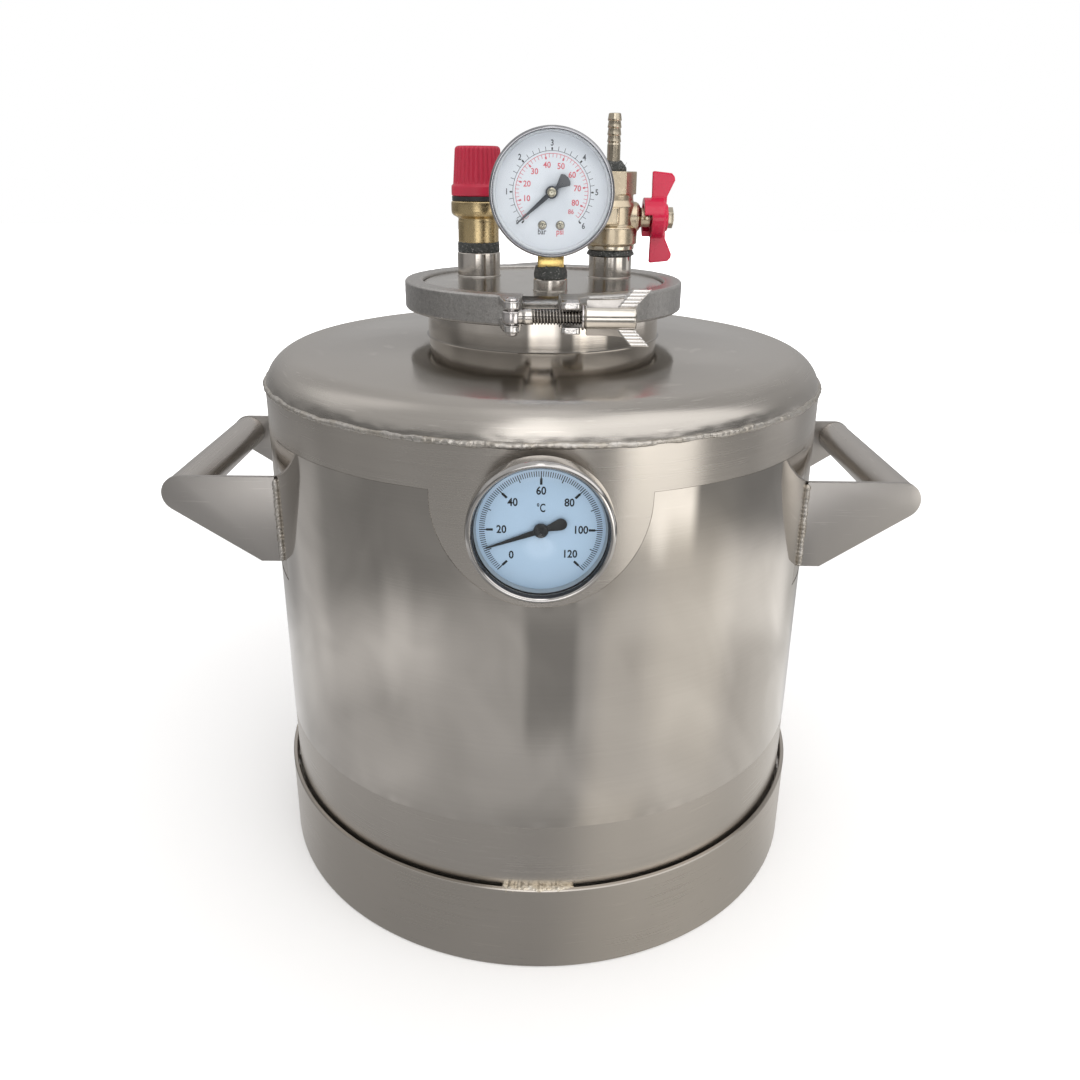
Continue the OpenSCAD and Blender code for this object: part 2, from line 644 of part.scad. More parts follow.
// a seat above and below the ball, and the stem's packing
module valve_seals() color([0.93, 0.93, 0.9]) at_valve() {
  for (below = [0, 1]) translate([0, 0, ball_z]) mirror([0, 0, below]) difference() {
    translate([0, 0, 5.2]) cylinder(r = 9.5, h = 3.8);
    sphere(r = ball_r + gap);
    cylinder(r = bore_r, h = 20);
  }
  stem_axis() tube(4.05, gland_r, 9.5, 13.9);
}
module valve_stem() color(shiny) at_valve() union() {
  translate([5.25, -3.6, ball_z - 1.25]) cube([3.2, 7.2, 2.5]);
  stem_axis(7.7) cylinder(r = 4, h = 1.7);
  stem_axis(9) cylinder(r = valve_stem_r, h = 29.2);
}
// butterfly handle, its wings in line with the pipe when the valve is open
module valve_handle() color([0.8, 0.06, 0.2]) at_valve() difference() {
  union() {
    stem_axis(hub_x) lathe([[0, 0], [11.2, 0], [11.7, 0.5], [11.7, 7], [10.8, 8],
      [8, 8.4], [8, 10], [0, 10]]);
    stem_axis() tube(11.7, 8.2, 19.4, 24.5);
    // wings above and below, outline in [x, height above the stem]
    for (below = [0, 1]) translate([0, 0, ball_z]) mirror([0, 0, below])
      facing(0, 1.6, 0) linear_extrude(3.2)
        polygon([[hub_x, 6], [hub_x, 12], [24.1, 26.6], [25, 27.1], [35.8, 26], [37.6, 24],
          [38, 21.8], [33.6, 12.4], [33.4, 6]]);
  }
  stem_axis(10) cylinder(r = 3.03, h = 40);
  // window for the stop pin: 90 degrees of travel
  stem_axis(18) linear_extrude(6.2)
    polygon(concat([[0, 0]], arc([0, 0], 30, -99.5, 9.5, 8)));
}
module valve_handle_nut() color(nickel) at_valve() stem_axis(34.4) difference() {
  cylinder(r = 6.3, h = 3.4, $fn = 6);
  translate([0, 0, -1]) cylinder(r = 3.02, h = 8);
}
module hose_barb() color(nickel) at_valve() difference() {
  // a plain root below four barbs
  lathe(concat([[0, 411], [6.1, 411], [6.5, 411.6], [6.5, valve_top], [4, valve_top],
    [4, 437.4], [3.7, 438.4]],
    [for (i = [0:3], corner = [[4.15, 0], [4.15, 0.9], [3.65, 3.6]])
      [corner[0], 438.7 + i * 4.05 + corner[1]]],
    [[3.5, 454.9], [0, 454.9]]));
  disc(2.4, 400, 460);
}

// ---------- thermometer ----------
// distances in front of the vessel axis
thermo_pointer_d = thermo_front - 6.6;
probe_tip = 165 - probe_len;
thermo_arbor_r = 0.8;

module thermo_socket() color(steel) thermo() difference() {
  lathe([[0, 158], [thermo_socket_r, 158], [thermo_socket_r, 171.4],
    [thermo_socket_r - 0.6, 172], [0, 172]]);
  disc(large_bore_r, 150, 190);
}
module thermo_case() color(steel) thermo() difference() {
  lathe([[0, 160], [9.9, 160], [10.35, 161], [10.35, 172.4], [13.6, 172.4], [13.6, 175],
    [30.6, 175], [32, 176.4], [32, 185.5], [31, 185.5], [31, 176.8], [30, 176], [0, 176]]);
  disc(4.05, 150, 190);
}
module thermo_bezel() color(shiny) thermo(thermo_front) lathe([[32.1, -11.6],
  [33.6, -11.6], [thermo_r, -11], [thermo_r, -2.4], [33.4, -0.8], [32.4, 0], [31.2, -0.4],
  [30.4, -2.2], [30.4, -2.8], [32.1, -2.8]], $fn = 180);
module thermo_lens() color(glass) thermo(thermo_front) disc(32, -4.4, -2.9);
module thermo_dial() color([0.86, 0.91, 0.96]) thermo(thermo_front) difference() {
  disc(30.8, -8, -7.4);
  disc(1.6, -9, -5);
}
// rest pose: pointer at the 11.4 degree reading
module thermo_pointer() color([0.05, 0.05, 0.05]) thermo(thermo_pointer_d) difference() {
  rotate([0, 0, 109.4]) union() {
    linear_extrude(0.5) union() {
      polygon([[-1.1, 0], [-0.3, 25.8], [0.3, 25.8], [1.1, 0], [0.8, -9.8], [-0.8, -9.8]]);
      translate([0, -9.8]) circle(r = 2.5);
    }
    translate([0, 0, -0.4]) cylinder(r = 3.4, h = 1.7);
  }
  disc(thermo_arbor_r + 0.03, -3, 6);
}
module thermo_arbor() color(shiny)
  thermo() disc(thermo_arbor_r, probe_tip + 3, thermo_pointer_d + 0.9);
// tube closed at its inner end
module thermo_probe() color(shiny) thermo(probe_tip) difference() {
  cylinder(r = 4, h = 12 + probe_len);
  translate([0, 0, 1]) cylinder(r = 3.4, h = 30 + probe_len);
}
// coil as a row of ten separate rings
module thermo_bimetal_coil() color([0.6, 0.55, 0.45]) for (i = [0:9])
  thermo(probe_tip + 5 + i * 2.2) rotate_extrude() translate([2.2, 0]) square([0.4, 1.5]);

vessel_shell();
top_head();
bottom_head();
seam_weld_beads();
base_ring();
base_ring_tacks();
protective_film();
handle_plates();
handle_grips();
handle_weld_beads();
neck_ferrule();
clamp_gasket();
lid_plate();
relief_socket();
gauge_socket();
valve_socket();
clamp_half_left();
clamp_half_right();
clamp_hinge_pin();
clamp_swing_bolt();
clamp_bolt_pin();
clamp_nut_washer();
clamp_wing_nut();
thread_sealant();
relief_body();
relief_bonnet();
relief_collar();
relief_cap();
relief_spring();
relief_stem();
relief_seat_seal();
gauge_case();
gauge_bezel();
gauge_lens();
gauge_dial();
gauge_dial_screws();
gauge_pointer();
gauge_stem();
gauge_bourdon_tube();
gauge_movement_frame();
gauge_sector_gear();
gauge_pinion_arbor();
valve_body();
valve_nipple();
valve_ball();
valve_seals();
valve_stem();
valve_handle();
valve_handle_nut();
hose_barb();
thermo_socket();
thermo_case();
thermo_bezel();
thermo_lens();
thermo_dial();
thermo_pointer();
thermo_arbor();
thermo_probe();
thermo_bimetal_coil();
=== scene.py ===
# A closed steel pressure vessel on a base ring, with two side handles, a clamped neck
# and a thermometer. The lid carries a relief valve, a pressure gauge and a ball valve.
# It stands on z = 0 about the z axis. Both dials face -Y, the front, and +X is the right.
# Sizes are in millimetres. The mesh helpers turn them into metres, and shaders use metres.
import json
import random
from functools import reduce
from math import acos, asin, atan2, cos, degrees, exp, hypot, pi, radians, sin, sqrt, tan
import bmesh
import bpy
import numpy as np
from mathutils import Matrix, Vector, noise


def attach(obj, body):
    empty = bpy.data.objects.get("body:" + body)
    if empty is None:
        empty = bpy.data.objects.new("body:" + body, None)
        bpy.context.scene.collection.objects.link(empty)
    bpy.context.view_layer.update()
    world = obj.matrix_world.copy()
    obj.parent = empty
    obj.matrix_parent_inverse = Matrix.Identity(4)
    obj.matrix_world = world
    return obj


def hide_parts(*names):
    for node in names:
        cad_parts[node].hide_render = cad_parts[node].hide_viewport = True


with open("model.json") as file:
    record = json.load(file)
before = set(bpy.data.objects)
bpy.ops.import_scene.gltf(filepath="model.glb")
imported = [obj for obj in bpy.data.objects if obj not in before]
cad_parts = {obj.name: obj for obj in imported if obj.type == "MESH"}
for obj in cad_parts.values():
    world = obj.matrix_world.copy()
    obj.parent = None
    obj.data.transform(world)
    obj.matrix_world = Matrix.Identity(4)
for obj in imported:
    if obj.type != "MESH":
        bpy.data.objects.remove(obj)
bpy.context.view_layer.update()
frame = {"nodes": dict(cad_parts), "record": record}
CAD_NODES = frame["nodes"]
BODY_OF = {node: body for body, nodes in frame["record"]["behaviour"]["bodies"].items()
           for node in nodes}
MM = 0.001

# ---------------------------------------------------------------- main dimensions (mm)
SHELL_R, SHEET = 166.8, 2               # outer radius and thickness of the vessel wall
SEAM_LO, SEAM_HI = 40.0, 305.0          # ends of the cylindrical wall
HEAD_TOP, CROWN_R = 330.8, 1355         # top head: apex height and crown radius
KNUCKLE_X, KNUCKLE_Z, KNUCKLE_R = 145.2, 300.87, 22.0
HEAD_FLIP_Z = 345                       # the bottom head is the top head at 345 - z
CLAMP_Z = 353.3                         # mid plane of clamp and gasket
GASKET_LO, GASKET_HI = CLAMP_Z - 0.9, CLAMP_Z + 0.9
BOLT_X, BOLT_Y = -15.8, -99.0           # pivot of the swing bolt
RELIEF_X, VALVE_X, REAR_Y = -40.5, 41.8, 26.0
GAUGE_X, GAUGE_Y, GAUGE_Z = 4.0, -45.0, 412.0
BALL_Z, THERMO_Z = 395.5, 271.0


# ---------------------------------------------------------------- shader helpers
def rgba(colour):
    return (*colour, 1) if isinstance(colour, tuple) else colour


def shade(colour, factor, lift=0.0):
    return tuple(min(1, v * factor + lift) for v in colour)


class Nodes:
    """A node tree emptied and given an output. Values may be numbers or sockets."""

    def __init__(self, tree, output):
        self.tree = tree
        tree.nodes.clear()
        self.output = self.node(output)
        self.coords = self.node("TexCoord").outputs

    def fill(self, socket, value):
        if isinstance(value, bpy.types.NodeSocket):
            self.tree.links.new(value, socket)
        else:
            socket.default_value = value

    def node(self, kind, inputs=(), **settings):
        """A new node; inputs maps socket names or numbers to values."""
        node = self.tree.nodes.new("ShaderNode" + kind)
        for key, value in settings.items():
            setattr(node, key, value)
        for key, value in dict(inputs).items():
            self.fill(node.inputs[key], value)
        return node

    def mapped(self, scale=(1, 1, 1), loc=(0, 0, 0), rot=(0, 0, 0)):
        return self.node("Mapping", {"Scale": scale, "Location": loc, "Rotation": rot,
                                     "Vector": self.coords["Object"]}).outputs[0]

    def noise(self, scale, detail=3, rough=0.55, vec=None, dist=0.0):
        return self.node("TexNoise", {
            "Scale": scale, "Detail": detail, "Roughness": rough, "Distortion": dist,
            "Vector": vec or self.coords["Object"]}).outputs["Fac"]

    def cells(self, scale):
        return self.node("TexVoronoi", {"Scale": scale,
                                        "Vector": self.coords["Object"]}).outputs["Distance"]

    def math(self, operation, a, b=0.0, clamp=False):
        return self.node("Math", {0: a, 1: b, 2: 0.0}, operation=operation,
                         use_clamp=clamp).outputs[0]

    def add(self, a, b):
        return self.math("ADD", a, b)

    def sub(self, a, b):
        return self.math("SUBTRACT", a, b)

    def mul(self, a, b):
        return self.math("MULTIPLY", a, b)

    def ramp(self, value, start, end, low, high, kind="LINEAR"):
        """Maps start..end to low..high, clamped."""
        return self.node("MapRange", {"Value": value, "From Min": start, "From Max": end,
                                      "To Min": low, "To Max": high},
                         interpolation_type=kind).outputs[0]

    def mix(self, factor, a, b):
        return self.node("Mix", {0: factor, 6: rgba(a), 7: rgba(b)},
                         data_type="RGBA").outputs[2]

    def bump(self, height, strength, dist, normal=None):
        inputs = {"Strength": strength, "Distance": dist, "Height": height}
        if normal is not None:
            inputs["Normal"] = normal
        return self.node("Bump", inputs).outputs[0]

    def split(self, vector=None):
        return self.node("SeparateXYZ", {0: vector or self.coords["Object"]}).outputs

    def comb(self, x, y, z):
        return self.node("CombineXYZ", {0: x, 1: y, 2: z}).outputs[0]

    def length(self, a, b):
        return self.math("SQRT", self.add(self.mul(a, a), self.mul(b, b)))

    def from_axis(self):
        """x and y measured from the vertical axis, and z."""
        xyz = self.split()
        return self.sub(xyz[0], 0.0), self.sub(xyz[1], 0.0), xyz[2]

    def axis_radius(self):
        x, y, _ = self.from_axis()
        return self.length(x, y)

    def polar(self):
        """Angle, radius and height about the vertical axis."""
        x, y, z = self.from_axis()
        return self.math("ARCTAN2", y, x), self.length(x, y), z

    def pointiness(self):
        return self.node("NewGeometry").outputs["Pointiness"]

    def tangent(self, axis="Z"):
        return self.node("Tangent", direction_type="RADIAL", axis=axis).outputs[0]


def new_material(name):
    material = bpy.data.materials.new(name)
    material.use_nodes = True
    return material


class Principled(Nodes):
    """A material with one Principled shader."""

    def __init__(self, name):
        self.material = new_material(name)
        super().__init__(self.material.node_tree, "OutputMaterial")
        self.bsdf = self.node("BsdfPrincipled")
        self.fill(self.output.inputs[0], self.bsdf.outputs[0])

    def surface(self, **inputs):
        for key, value in inputs.items():
            self.fill(self.bsdf.inputs[key.replace("_", " ")], rgba(value))


# ---------------------------------------------------------------- material kinds
def steel(name, col, rough, line, line_bump, line_rough, aniso, smudge, waves, dirt, scratch,
          axis="Z", coat=0.0, radial=None):
    """Sheet steel with directional grain.

    line: grain frequency along x, y, z. waves: depth of the slow dents. smudge, dirt and
    scratch: strength of the blotches, dull patches and scratches. radial: two radii and the
    roughness at the first; it also turns the grain into rings towards the rim.
    """
    g = Principled(name)
    if radial:
        radius = g.axis_radius()
        start, end, start_rough = radial
        rough = g.ramp(radius, start, end, start_rough, rough, "SMOOTHSTEP")
    coarse = g.noise(1.0, detail=4, rough=0.7, vec=g.mapped(line))
    fine = g.noise(1.0, detail=2, rough=0.6,
                   vec=g.mapped(tuple(2.7 * v for v in line), loc=(3.1, 1.7, 9.2)))
    grain = g.add(g.mul(coarse, 0.65), g.mul(fine, 0.35))
    if radial:
        angle, distance, z = g.polar()
        rings = g.noise(1.0, detail=4, rough=0.7, vec=g.comb(
            g.mul(angle, 2.0), g.mul(distance, 900.0), g.mul(z, 900.0)))
        rim = g.ramp(distance, 0.140, 0.156, 0, 1, "SMOOTHSTEP")
        grain = g.add(g.mul(grain, g.sub(1.0, rim)), g.mul(rings, rim))
        line_bump = g.ramp(rim, 0, 1, line_bump, line_bump * 3.5)
    blotch = g.noise(22, detail=4, rough=0.6)
    patch = g.noise(7, rough=0.5, vec=g.mapped(loc=(4, 2, 8)))
    roughness = g.add(rough, g.mul(g.sub(grain, 0.5), line_rough * 2))
    roughness = g.add(roughness, g.mul(g.sub(blotch, 0.5), smudge * 2))
    g.surface(Roughness=g.math("MAXIMUM", roughness, 0.04))
    colour = g.mix(g.ramp(patch, 0.35, 0.7, 0, dirt), col, shade(col, 0.72))
    colour = g.mix(g.ramp(grain, 0.3, 0.7, 0.0, 0.22), colour, shade(col, 1.12))
    scratches = g.noise(1.0, detail=2, rough=0.5,
                        vec=g.mapped((40, 40, 900), rot=(0.4, 0.2, 0.3)))
    colour = g.mix(g.mul(g.ramp(scratches, 0.66, 0.72, 0, 1), scratch), colour,
                   shade(col, 1.35))
    if radial:
        # painted shade: a dark line round the foot of the neck; painted reflection: a darker zone
        # on the head beside it, for the dark reflection below the neck
        colour = g.mix(g.ramp(radius, 0.0702, 0.0712, 1, 0), colour, (0.10, 0.095, 0.09))
        colour = g.mix(g.ramp(radius, 0.0702, 0.110, 0.35, 0), colour, shade(col, 0.6))
    dents = g.noise(9, detail=2, rough=0.4, vec=g.mapped((1.0, 1.0, 0.45)), dist=0.4)
    normal = g.bump(dents, waves, 0.004, g.bump(grain, line_bump, 0.0002))
    g.surface(Base_Color=colour, Metallic=1.0, Anisotropic=aniso, Normal=normal,
              Anisotropic_Rotation=0.25, Tangent=g.tangent(axis))
    if coat:
        g.surface(Coat_Weight=coat, Coat_Roughness=0.06)
    return g.material


def turned_metal(name, col, rough, pitch, aniso, bump):
    """Lathe-turned metal; pitch is the frequency of the tool marks along z."""
    g = Principled(name)
    marks = g.noise(1.0, rough=0.7, vec=g.mapped((6, 6, pitch)))
    blotch = g.noise(60, rough=0.6)
    g.surface(Base_Color=g.mix(g.ramp(blotch, 0.4, 0.75, 0, 0.3), col, shade(col, 0.75)),
              Metallic=1.0, Anisotropic=aniso,
              Roughness=g.add(g.mul(marks, 0.12),
                              g.ramp(blotch, 0.3, 0.7, rough - 0.08, rough + 0.08)),
              Normal=g.bump(marks, bump, 0.0002), Anisotropic_Rotation=0.25,
              Tangent=g.tangent())
    return g.material


def cast_metal(name, col, rough, grain, bump, dark, ground=None):
    """Sandy cast metal, darkened by dark in the hollows and ground bright before y = ground."""
    g = Principled(name)
    fine = g.noise(grain, rough=0.65)
    coarse = g.noise(grain * 0.3, rough=0.6, vec=g.mapped(loc=(5, 1, 2)))
    patch = g.noise(45)
    height = g.add(g.mul(fine, 0.6), g.mul(coarse, 0.4))
    pits = g.ramp(g.cells(grain * 0.45), 0.0, 0.35, 0.0, 1.0)
    edge = g.ramp(g.pointiness(), 0.5, 0.56, 0, 0.7)
    colour = g.mix(g.ramp(height, 0.35, 0.7, 0.0, 1.0), shade(col, dark), col)
    colour = g.mix(g.ramp(patch, 0.35, 0.7, 0, 0.35), colour, shade(col, 0.7))
    colour = g.mix(edge, colour, shade(col, 1.3))
    roughness = g.sub(g.ramp(height, 0.3, 0.7, rough - 0.07, rough + 0.1), g.mul(edge, 0.1))
    if ground:
        front = g.ramp(g.split()[1], ground - 0.0006, ground + 0.0006, 1, 0, "SMOOTHSTEP")
        colour = g.mix(g.mul(front, 0.85), colour, (0.70, 0.68, 0.66))
        roughness = g.sub(roughness, g.mul(front, rough - 0.17))
        bump = g.ramp(front, 0, 1, bump, bump * 0.35)
    g.surface(Base_Color=colour, Metallic=1.0, Roughness=roughness,
              Normal=g.bump(g.add(height, g.mul(pits, 0.35)), bump, 0.0003))
    return g.material


def polished(name, col, rough, wobble, var=0.35):
    """Polished metal; wobble is the depth of its unevenness, var its blotchiness."""
    g = Principled(name)
    fine = g.noise(260, rough=0.6)
    broad = g.noise(40, rough=0.5)
    streaks = g.noise(1.0, detail=2, rough=0.6, vec=g.mapped((900, 60, 60)))
    g.surface(Base_Color=g.mix(g.ramp(broad, 0.4, 0.7, 0, var), col, shade(col, 0.7)),
              Metallic=1.0,
              Roughness=g.add(g.ramp(fine, 0.3, 0.7, rough, rough + 0.3 * var),
                              g.mul(streaks, 0.04)),
              Normal=g.bump(fine, wobble, 0.0004, g.bump(broad, wobble, 0.0015)))
    return g.material


def weld(name, col, tint, soot):
    """Weld metal with patches of heat tint and specks of soot."""
    g = Principled(name)
    fine = g.noise(700, detail=4, rough=0.65)
    broad = g.noise(120, rough=0.6)
    patch = g.noise(30, detail=2, rough=0.6, vec=g.mapped(loc=(7, 3, 1)))
    colour = g.mix(g.ramp(broad, 0.4, 0.62, 0, 0.8), col, tint)
    colour = g.mix(g.ramp(fine, 0.56, 0.7, 0, 0.75), colour, soot)
    g.surface(Base_Color=colour, Metallic=0.95, Roughness=g.ramp(patch, 0.3, 0.7, 0.2, 0.42),
              Normal=g.bump(fine, 0.5, 0.0006, g.bump(broad, 0.5, 0.0015)))
    return g.material


def plastic(name, col, rough, grain, bump, coat=0.0, var=0.25, edge_light=0.35, spec=0.5,
            sss=0.0, spots=0.0):
    """Plastic, rubber, paint or ink; grain and bump set its fine texture."""
    g = Principled(name)
    fine = g.noise(grain, rough=0.6)
    broad = g.noise(50)
    edge = g.ramp(g.pointiness(), 0.5, 0.6, 0, edge_light)
    colour = g.mix(g.ramp(broad, 0.35, 0.7, 0, var), col, shade(col, 0.62))
    colour = g.mix(edge, colour, shade(col, 1.25, lift=0.04))
    if spots:
        speckle = g.noise(1600, detail=2, rough=0.5, vec=g.mapped(loc=(2, 9, 4)))
        colour = g.mix(g.ramp(speckle, 0.62, 0.7, 0, spots), colour, (0.75, 0.72, 0.7))
    g.surface(Base_Color=colour, Roughness=g.ramp(broad, 0.3, 0.7, rough - 0.06, rough + 0.08),
              Normal=g.bump(fine, bump, 0.0003), Specular_IOR_Level=spec)
    if coat:
        g.surface(Coat_Weight=coat, Coat_Roughness=0.05)
    if sss:
        g.surface(Subsurface_Weight=sss, Subsurface_Scale=0.002)
    return g.material


def glass(name, tint, ior=1.5):
    """Clear pane: transparent, with smeared reflections on front faces only."""
    material = new_material(name)
    g = Nodes(material.node_tree, "OutputMaterial")
    clear = g.node("BsdfTransparent", {0: rgba(tint)})
    smear = g.ramp(g.noise(35, rough=0.6), 0.3, 0.7, 0.01, 0.06)
    gloss = g.node("BsdfGlossy", {"Roughness": smear})
    fresnel = g.node("Fresnel", {0: ior})
    front = g.sub(1.0, g.node("NewGeometry").outputs["Backfacing"])
    amount = g.mul(g.mul(fresnel.outputs[0], front), 0.95)
    mixed = g.node("MixShader", {0: amount, 1: clear.outputs[0], 2: gloss.outputs[0]})
    g.fill(g.output.inputs[0], mixed.outputs[0])
    return material


def thread_metal():
    """Swing bolt steel, dark at the root of the thread. Radii are from the bolt axis."""
    g = Principled("thread_steel")
    xyz = g.split()
    radius = g.length(g.add(xyz[1], -BOLT_Y * MM), g.sub(xyz[2], CLAMP_Z * MM))
    blotch = g.noise(500, rough=0.6)
    bright = g.mix(g.ramp(blotch, 0.35, 0.7, 0, 0.3), (0.74, 0.71, 0.67), (0.5, 0.47, 0.44))
    g.surface(Base_Color=g.mix(g.ramp(radius, 0.00315, 0.00385, 0, 1), (0.15, 0.14, 0.13),
                               bright),
              Metallic=1.0, Roughness=g.ramp(blotch, 0.3, 0.7, 0.12, 0.24),
              Normal=g.bump(blotch, 0.08, 0.0002))
    return g.material


# ---------------------------------------------------------------- materials
SHELL_STEEL = steel(
    "sheet_steel", (0.595, 0.560, 0.515), rough=0.25, line=(2, 2, 1300), line_bump=0.09,
    line_rough=0.09, aniso=0.5, smudge=0.05, waves=0.10, dirt=0.14, scratch=0.2)
HEAD_STEEL = steel(
    "head_steel", (0.565, 0.535, 0.495), rough=0.25, line=(1.5, 900, 900), line_bump=0.06,
    line_rough=0.07, aniso=0.0, smudge=0.04, waves=0.12, dirt=0.2, scratch=0.35,
    radial=(0.105, 0.150, 0.10))
FILM_STEEL = steel(
    "film_steel", (0.605, 0.570, 0.525), rough=0.058, line=(2, 2, 500), line_bump=0.02,
    line_rough=0.02, aniso=0.0, smudge=0.02, waves=0.42, dirt=0.12, scratch=0.06, coat=0.55)
RING_STEEL = steel(
    "ring_steel", (0.545, 0.508, 0.462), rough=0.30, line=(2, 2, 1100), line_bump=0.10,
    line_rough=0.10, aniso=0.5, smudge=0.06, waves=0.10, dirt=0.18, scratch=0.2)
PLATE_STEEL = steel(
    "plate_steel", (0.49, 0.47, 0.45), rough=0.36, line=(1300, 1300, 6), line_bump=0.14,
    line_rough=0.10, aniso=0.0, smudge=0.06, waves=0.06, dirt=0.15, scratch=0.45)
GRIP_STEEL = steel(
    "grip_steel", (0.58, 0.55, 0.52), rough=0.30, line=(900, 10, 900), line_bump=0.14,
    line_rough=0.12, aniso=0.0, smudge=0.07, waves=0.05, dirt=0.2, scratch=0.3, axis="Y")
NECK_STEEL = steel(
    "neck_steel", (0.66, 0.615, 0.56), rough=0.09, line=(3, 3, 1500), line_bump=0.06,
    line_rough=0.04, aniso=0.8, smudge=0.02, waves=0.05, dirt=0.1, scratch=0.15)
LID_STEEL = steel(
    "lid_steel", (0.58, 0.56, 0.53), rough=0.19, line=(6, 1700, 1700), line_bump=0.08,
    line_rough=0.08, aniso=0.0, smudge=0.06, waves=0.05, dirt=0.16, scratch=0.6)
SOCKET_STEEL = turned_metal("socket_steel", (0.69, 0.65, 0.60), rough=0.075, pitch=2600,
                            aniso=0.6, bump=0.05)
INNER_STEEL = turned_metal("inner_steel", (0.5, 0.48, 0.46), rough=0.35, pitch=2000,
                           aniso=0.3, bump=0.1)
CAST_STEEL = cast_metal("cast_steel", (0.66, 0.645, 0.625), rough=0.36, grain=1300, bump=0.5,
                        dark=0.55, ground=-0.094)
POLISHED_STEEL = polished("polished_steel", (0.70, 0.67, 0.66), rough=0.12, wobble=0.3)
NUT_STEEL = polished("nut_steel", (0.72, 0.68, 0.62), rough=0.10, wobble=0.06, var=0.2)
WEB_STEEL = polished("web_steel", (0.46, 0.44, 0.42), rough=0.13, wobble=0.08)
TIP_STEEL = polished("tip_steel", (0.82, 0.80, 0.78), rough=0.08, wobble=0.08)
WELD = weld("weld_metal", col=(0.60, 0.575, 0.54), tint=(0.50, 0.46, 0.40),
            soot=(0.25, 0.235, 0.22))
TACK = weld("tack_metal", col=(0.72, 0.67, 0.58), tint=(0.74, 0.65, 0.50),
            soot=(0.36, 0.29, 0.22))
BRASS = cast_metal("brass_sand", (0.72, 0.565, 0.315), rough=0.27, grain=1500, bump=0.22,
                   dark=0.80)
TURNED_BRASS = turned_metal("brass_turned", (0.70, 0.56, 0.33), rough=0.2, pitch=2400,
                            aniso=0.3, bump=0.1)
BRIGHT_BRASS = cast_metal("brass_bright", (0.69, 0.505, 0.19), rough=0.24, grain=500,
                          bump=0.2, dark=0.8)
PALE_BRASS = polished("brass_pale", (0.66, 0.60, 0.48), rough=0.20, wobble=0.05)
NICKEL = cast_metal("nickel_sand", (0.71, 0.61, 0.455), rough=0.29, grain=1500, bump=0.07,
                    dark=0.86)
TURNED_NICKEL = turned_metal("nickel_turned", (0.64, 0.57, 0.45), rough=0.17, pitch=2200,
                             aniso=0.3, bump=0.1)
NIPPLE_NICKEL = cast_metal("nickel_hex", (0.72, 0.65, 0.53), rough=0.20, grain=900,
                           bump=0.12, dark=0.88)
RED_CAP = plastic("red_cap", (0.41, 0.009, 0.037), rough=0.40, grain=700, bump=0.05, var=0.2,
                  edge_light=0.3, sss=0.05)
RED_PAINT = plastic("red_paint", (0.56, 0.010, 0.052), rough=0.24, grain=420, bump=0.08,
                    coat=0.3, var=0.12, edge_light=0.15, spec=0.4)
BLACK = plastic("black_ring", (0.018, 0.018, 0.02), rough=0.42, grain=900, bump=0.12, var=0.3)
RUBBER = plastic("rubber", (0.10, 0.105, 0.115), rough=0.55, grain=700, bump=0.2, var=0.4,
                 edge_light=0.5, spec=0.3)
PASTE = plastic("paste", (0.045, 0.048, 0.045), rough=0.50, grain=900, bump=0.5, var=0.7,
                edge_light=0.6, spec=0.4, spots=0.5)
HEMP = plastic("hemp", (0.62, 0.55, 0.40), rough=0.7, grain=1800, bump=0.3, var=0.6,
               edge_light=0.2, spec=0.2)
GAUGE_WALL = plastic("gauge_wall", (0.66, 0.665, 0.69), rough=0.4, grain=900, bump=0.04,
                     var=0.1, edge_light=0.1)
PTFE = plastic("ptfe", (0.78, 0.78, 0.76), rough=0.4, grain=800, bump=0.1)
DARK_BEZEL = polished("dark_bezel", (0.42, 0.425, 0.45), rough=0.10, wobble=0.0, var=0.08)
DARK_CASE = plastic("dark_case", (0.05, 0.052, 0.056), rough=0.33, grain=500, bump=0.1,
                    coat=0.2, var=0.3, edge_light=0.3)
CHROME = polished("chrome", (0.60, 0.585, 0.57), rough=0.08, wobble=0.02, var=0.1)
SPRING = turned_metal("spring_wire", (0.45, 0.44, 0.43), rough=0.3, pitch=3000, aniso=0.0,
                      bump=0.1)
dial_finish = dict(rough=0.42, grain=1500, bump=0.02, coat=0.25, var=0.05, edge_light=0.0,
                   spec=0.4)
ink_finish = dict(rough=0.5, grain=2500, bump=0.05, var=0.2, edge_light=0.0, spec=0.3)
needle_finish = dict(rough=0.42, grain=1500, bump=0.04, var=0.15, edge_light=0.2)
WHITE_DIAL = plastic("white_dial", (0.665, 0.675, 0.715), **dial_finish)
BLUE_DIAL = plastic("blue_dial", (0.39, 0.505, 0.64), **dial_finish)
DIAL_WALL = plastic("dial_wall", (0.27, 0.31, 0.35), rough=0.38, grain=900, bump=0.05,
                    var=0.1, edge_light=0.1)
BLACK_INK = plastic("ink_black", (0.012, 0.012, 0.014), **ink_finish)
GREY_INK = plastic("ink_grey", (0.075, 0.077, 0.09), **ink_finish)
RED_INK = plastic("ink_red", (0.62, 0.10, 0.13), **ink_finish)
GREY_NEEDLE = plastic("needle_grey", (0.055, 0.058, 0.068), **needle_finish)
BLACK_NEEDLE = plastic("needle_black", (0.010, 0.010, 0.011), **needle_finish)
LENS = glass("lens_clear", tint=(0.97, 0.985, 0.99))
THREAD_STEEL = thread_metal()


# ---------------------------------------------------------------- frames and small maths
def upright(x, y):
    return Matrix.Translation((x, y, 0))


def facing_front(x, y, z):
    """Local z towards -Y, local x right, local y up."""
    return Matrix.Translation((x, y, z)) @ Matrix(
        ((1, 0, 0, 0), (0, 0, -1, 0), (0, 1, 0, 0), (0, 0, 0, 1)))


def facing_right(x, y, z):
    """Local z along +X, local x down, local y to the rear."""
    return Matrix.Translation((x, y, z)) @ Matrix(
        ((0, 0, 1, 0), (0, 1, 0, 0), (-1, 0, 0, 0), (0, 0, 0, 1)))


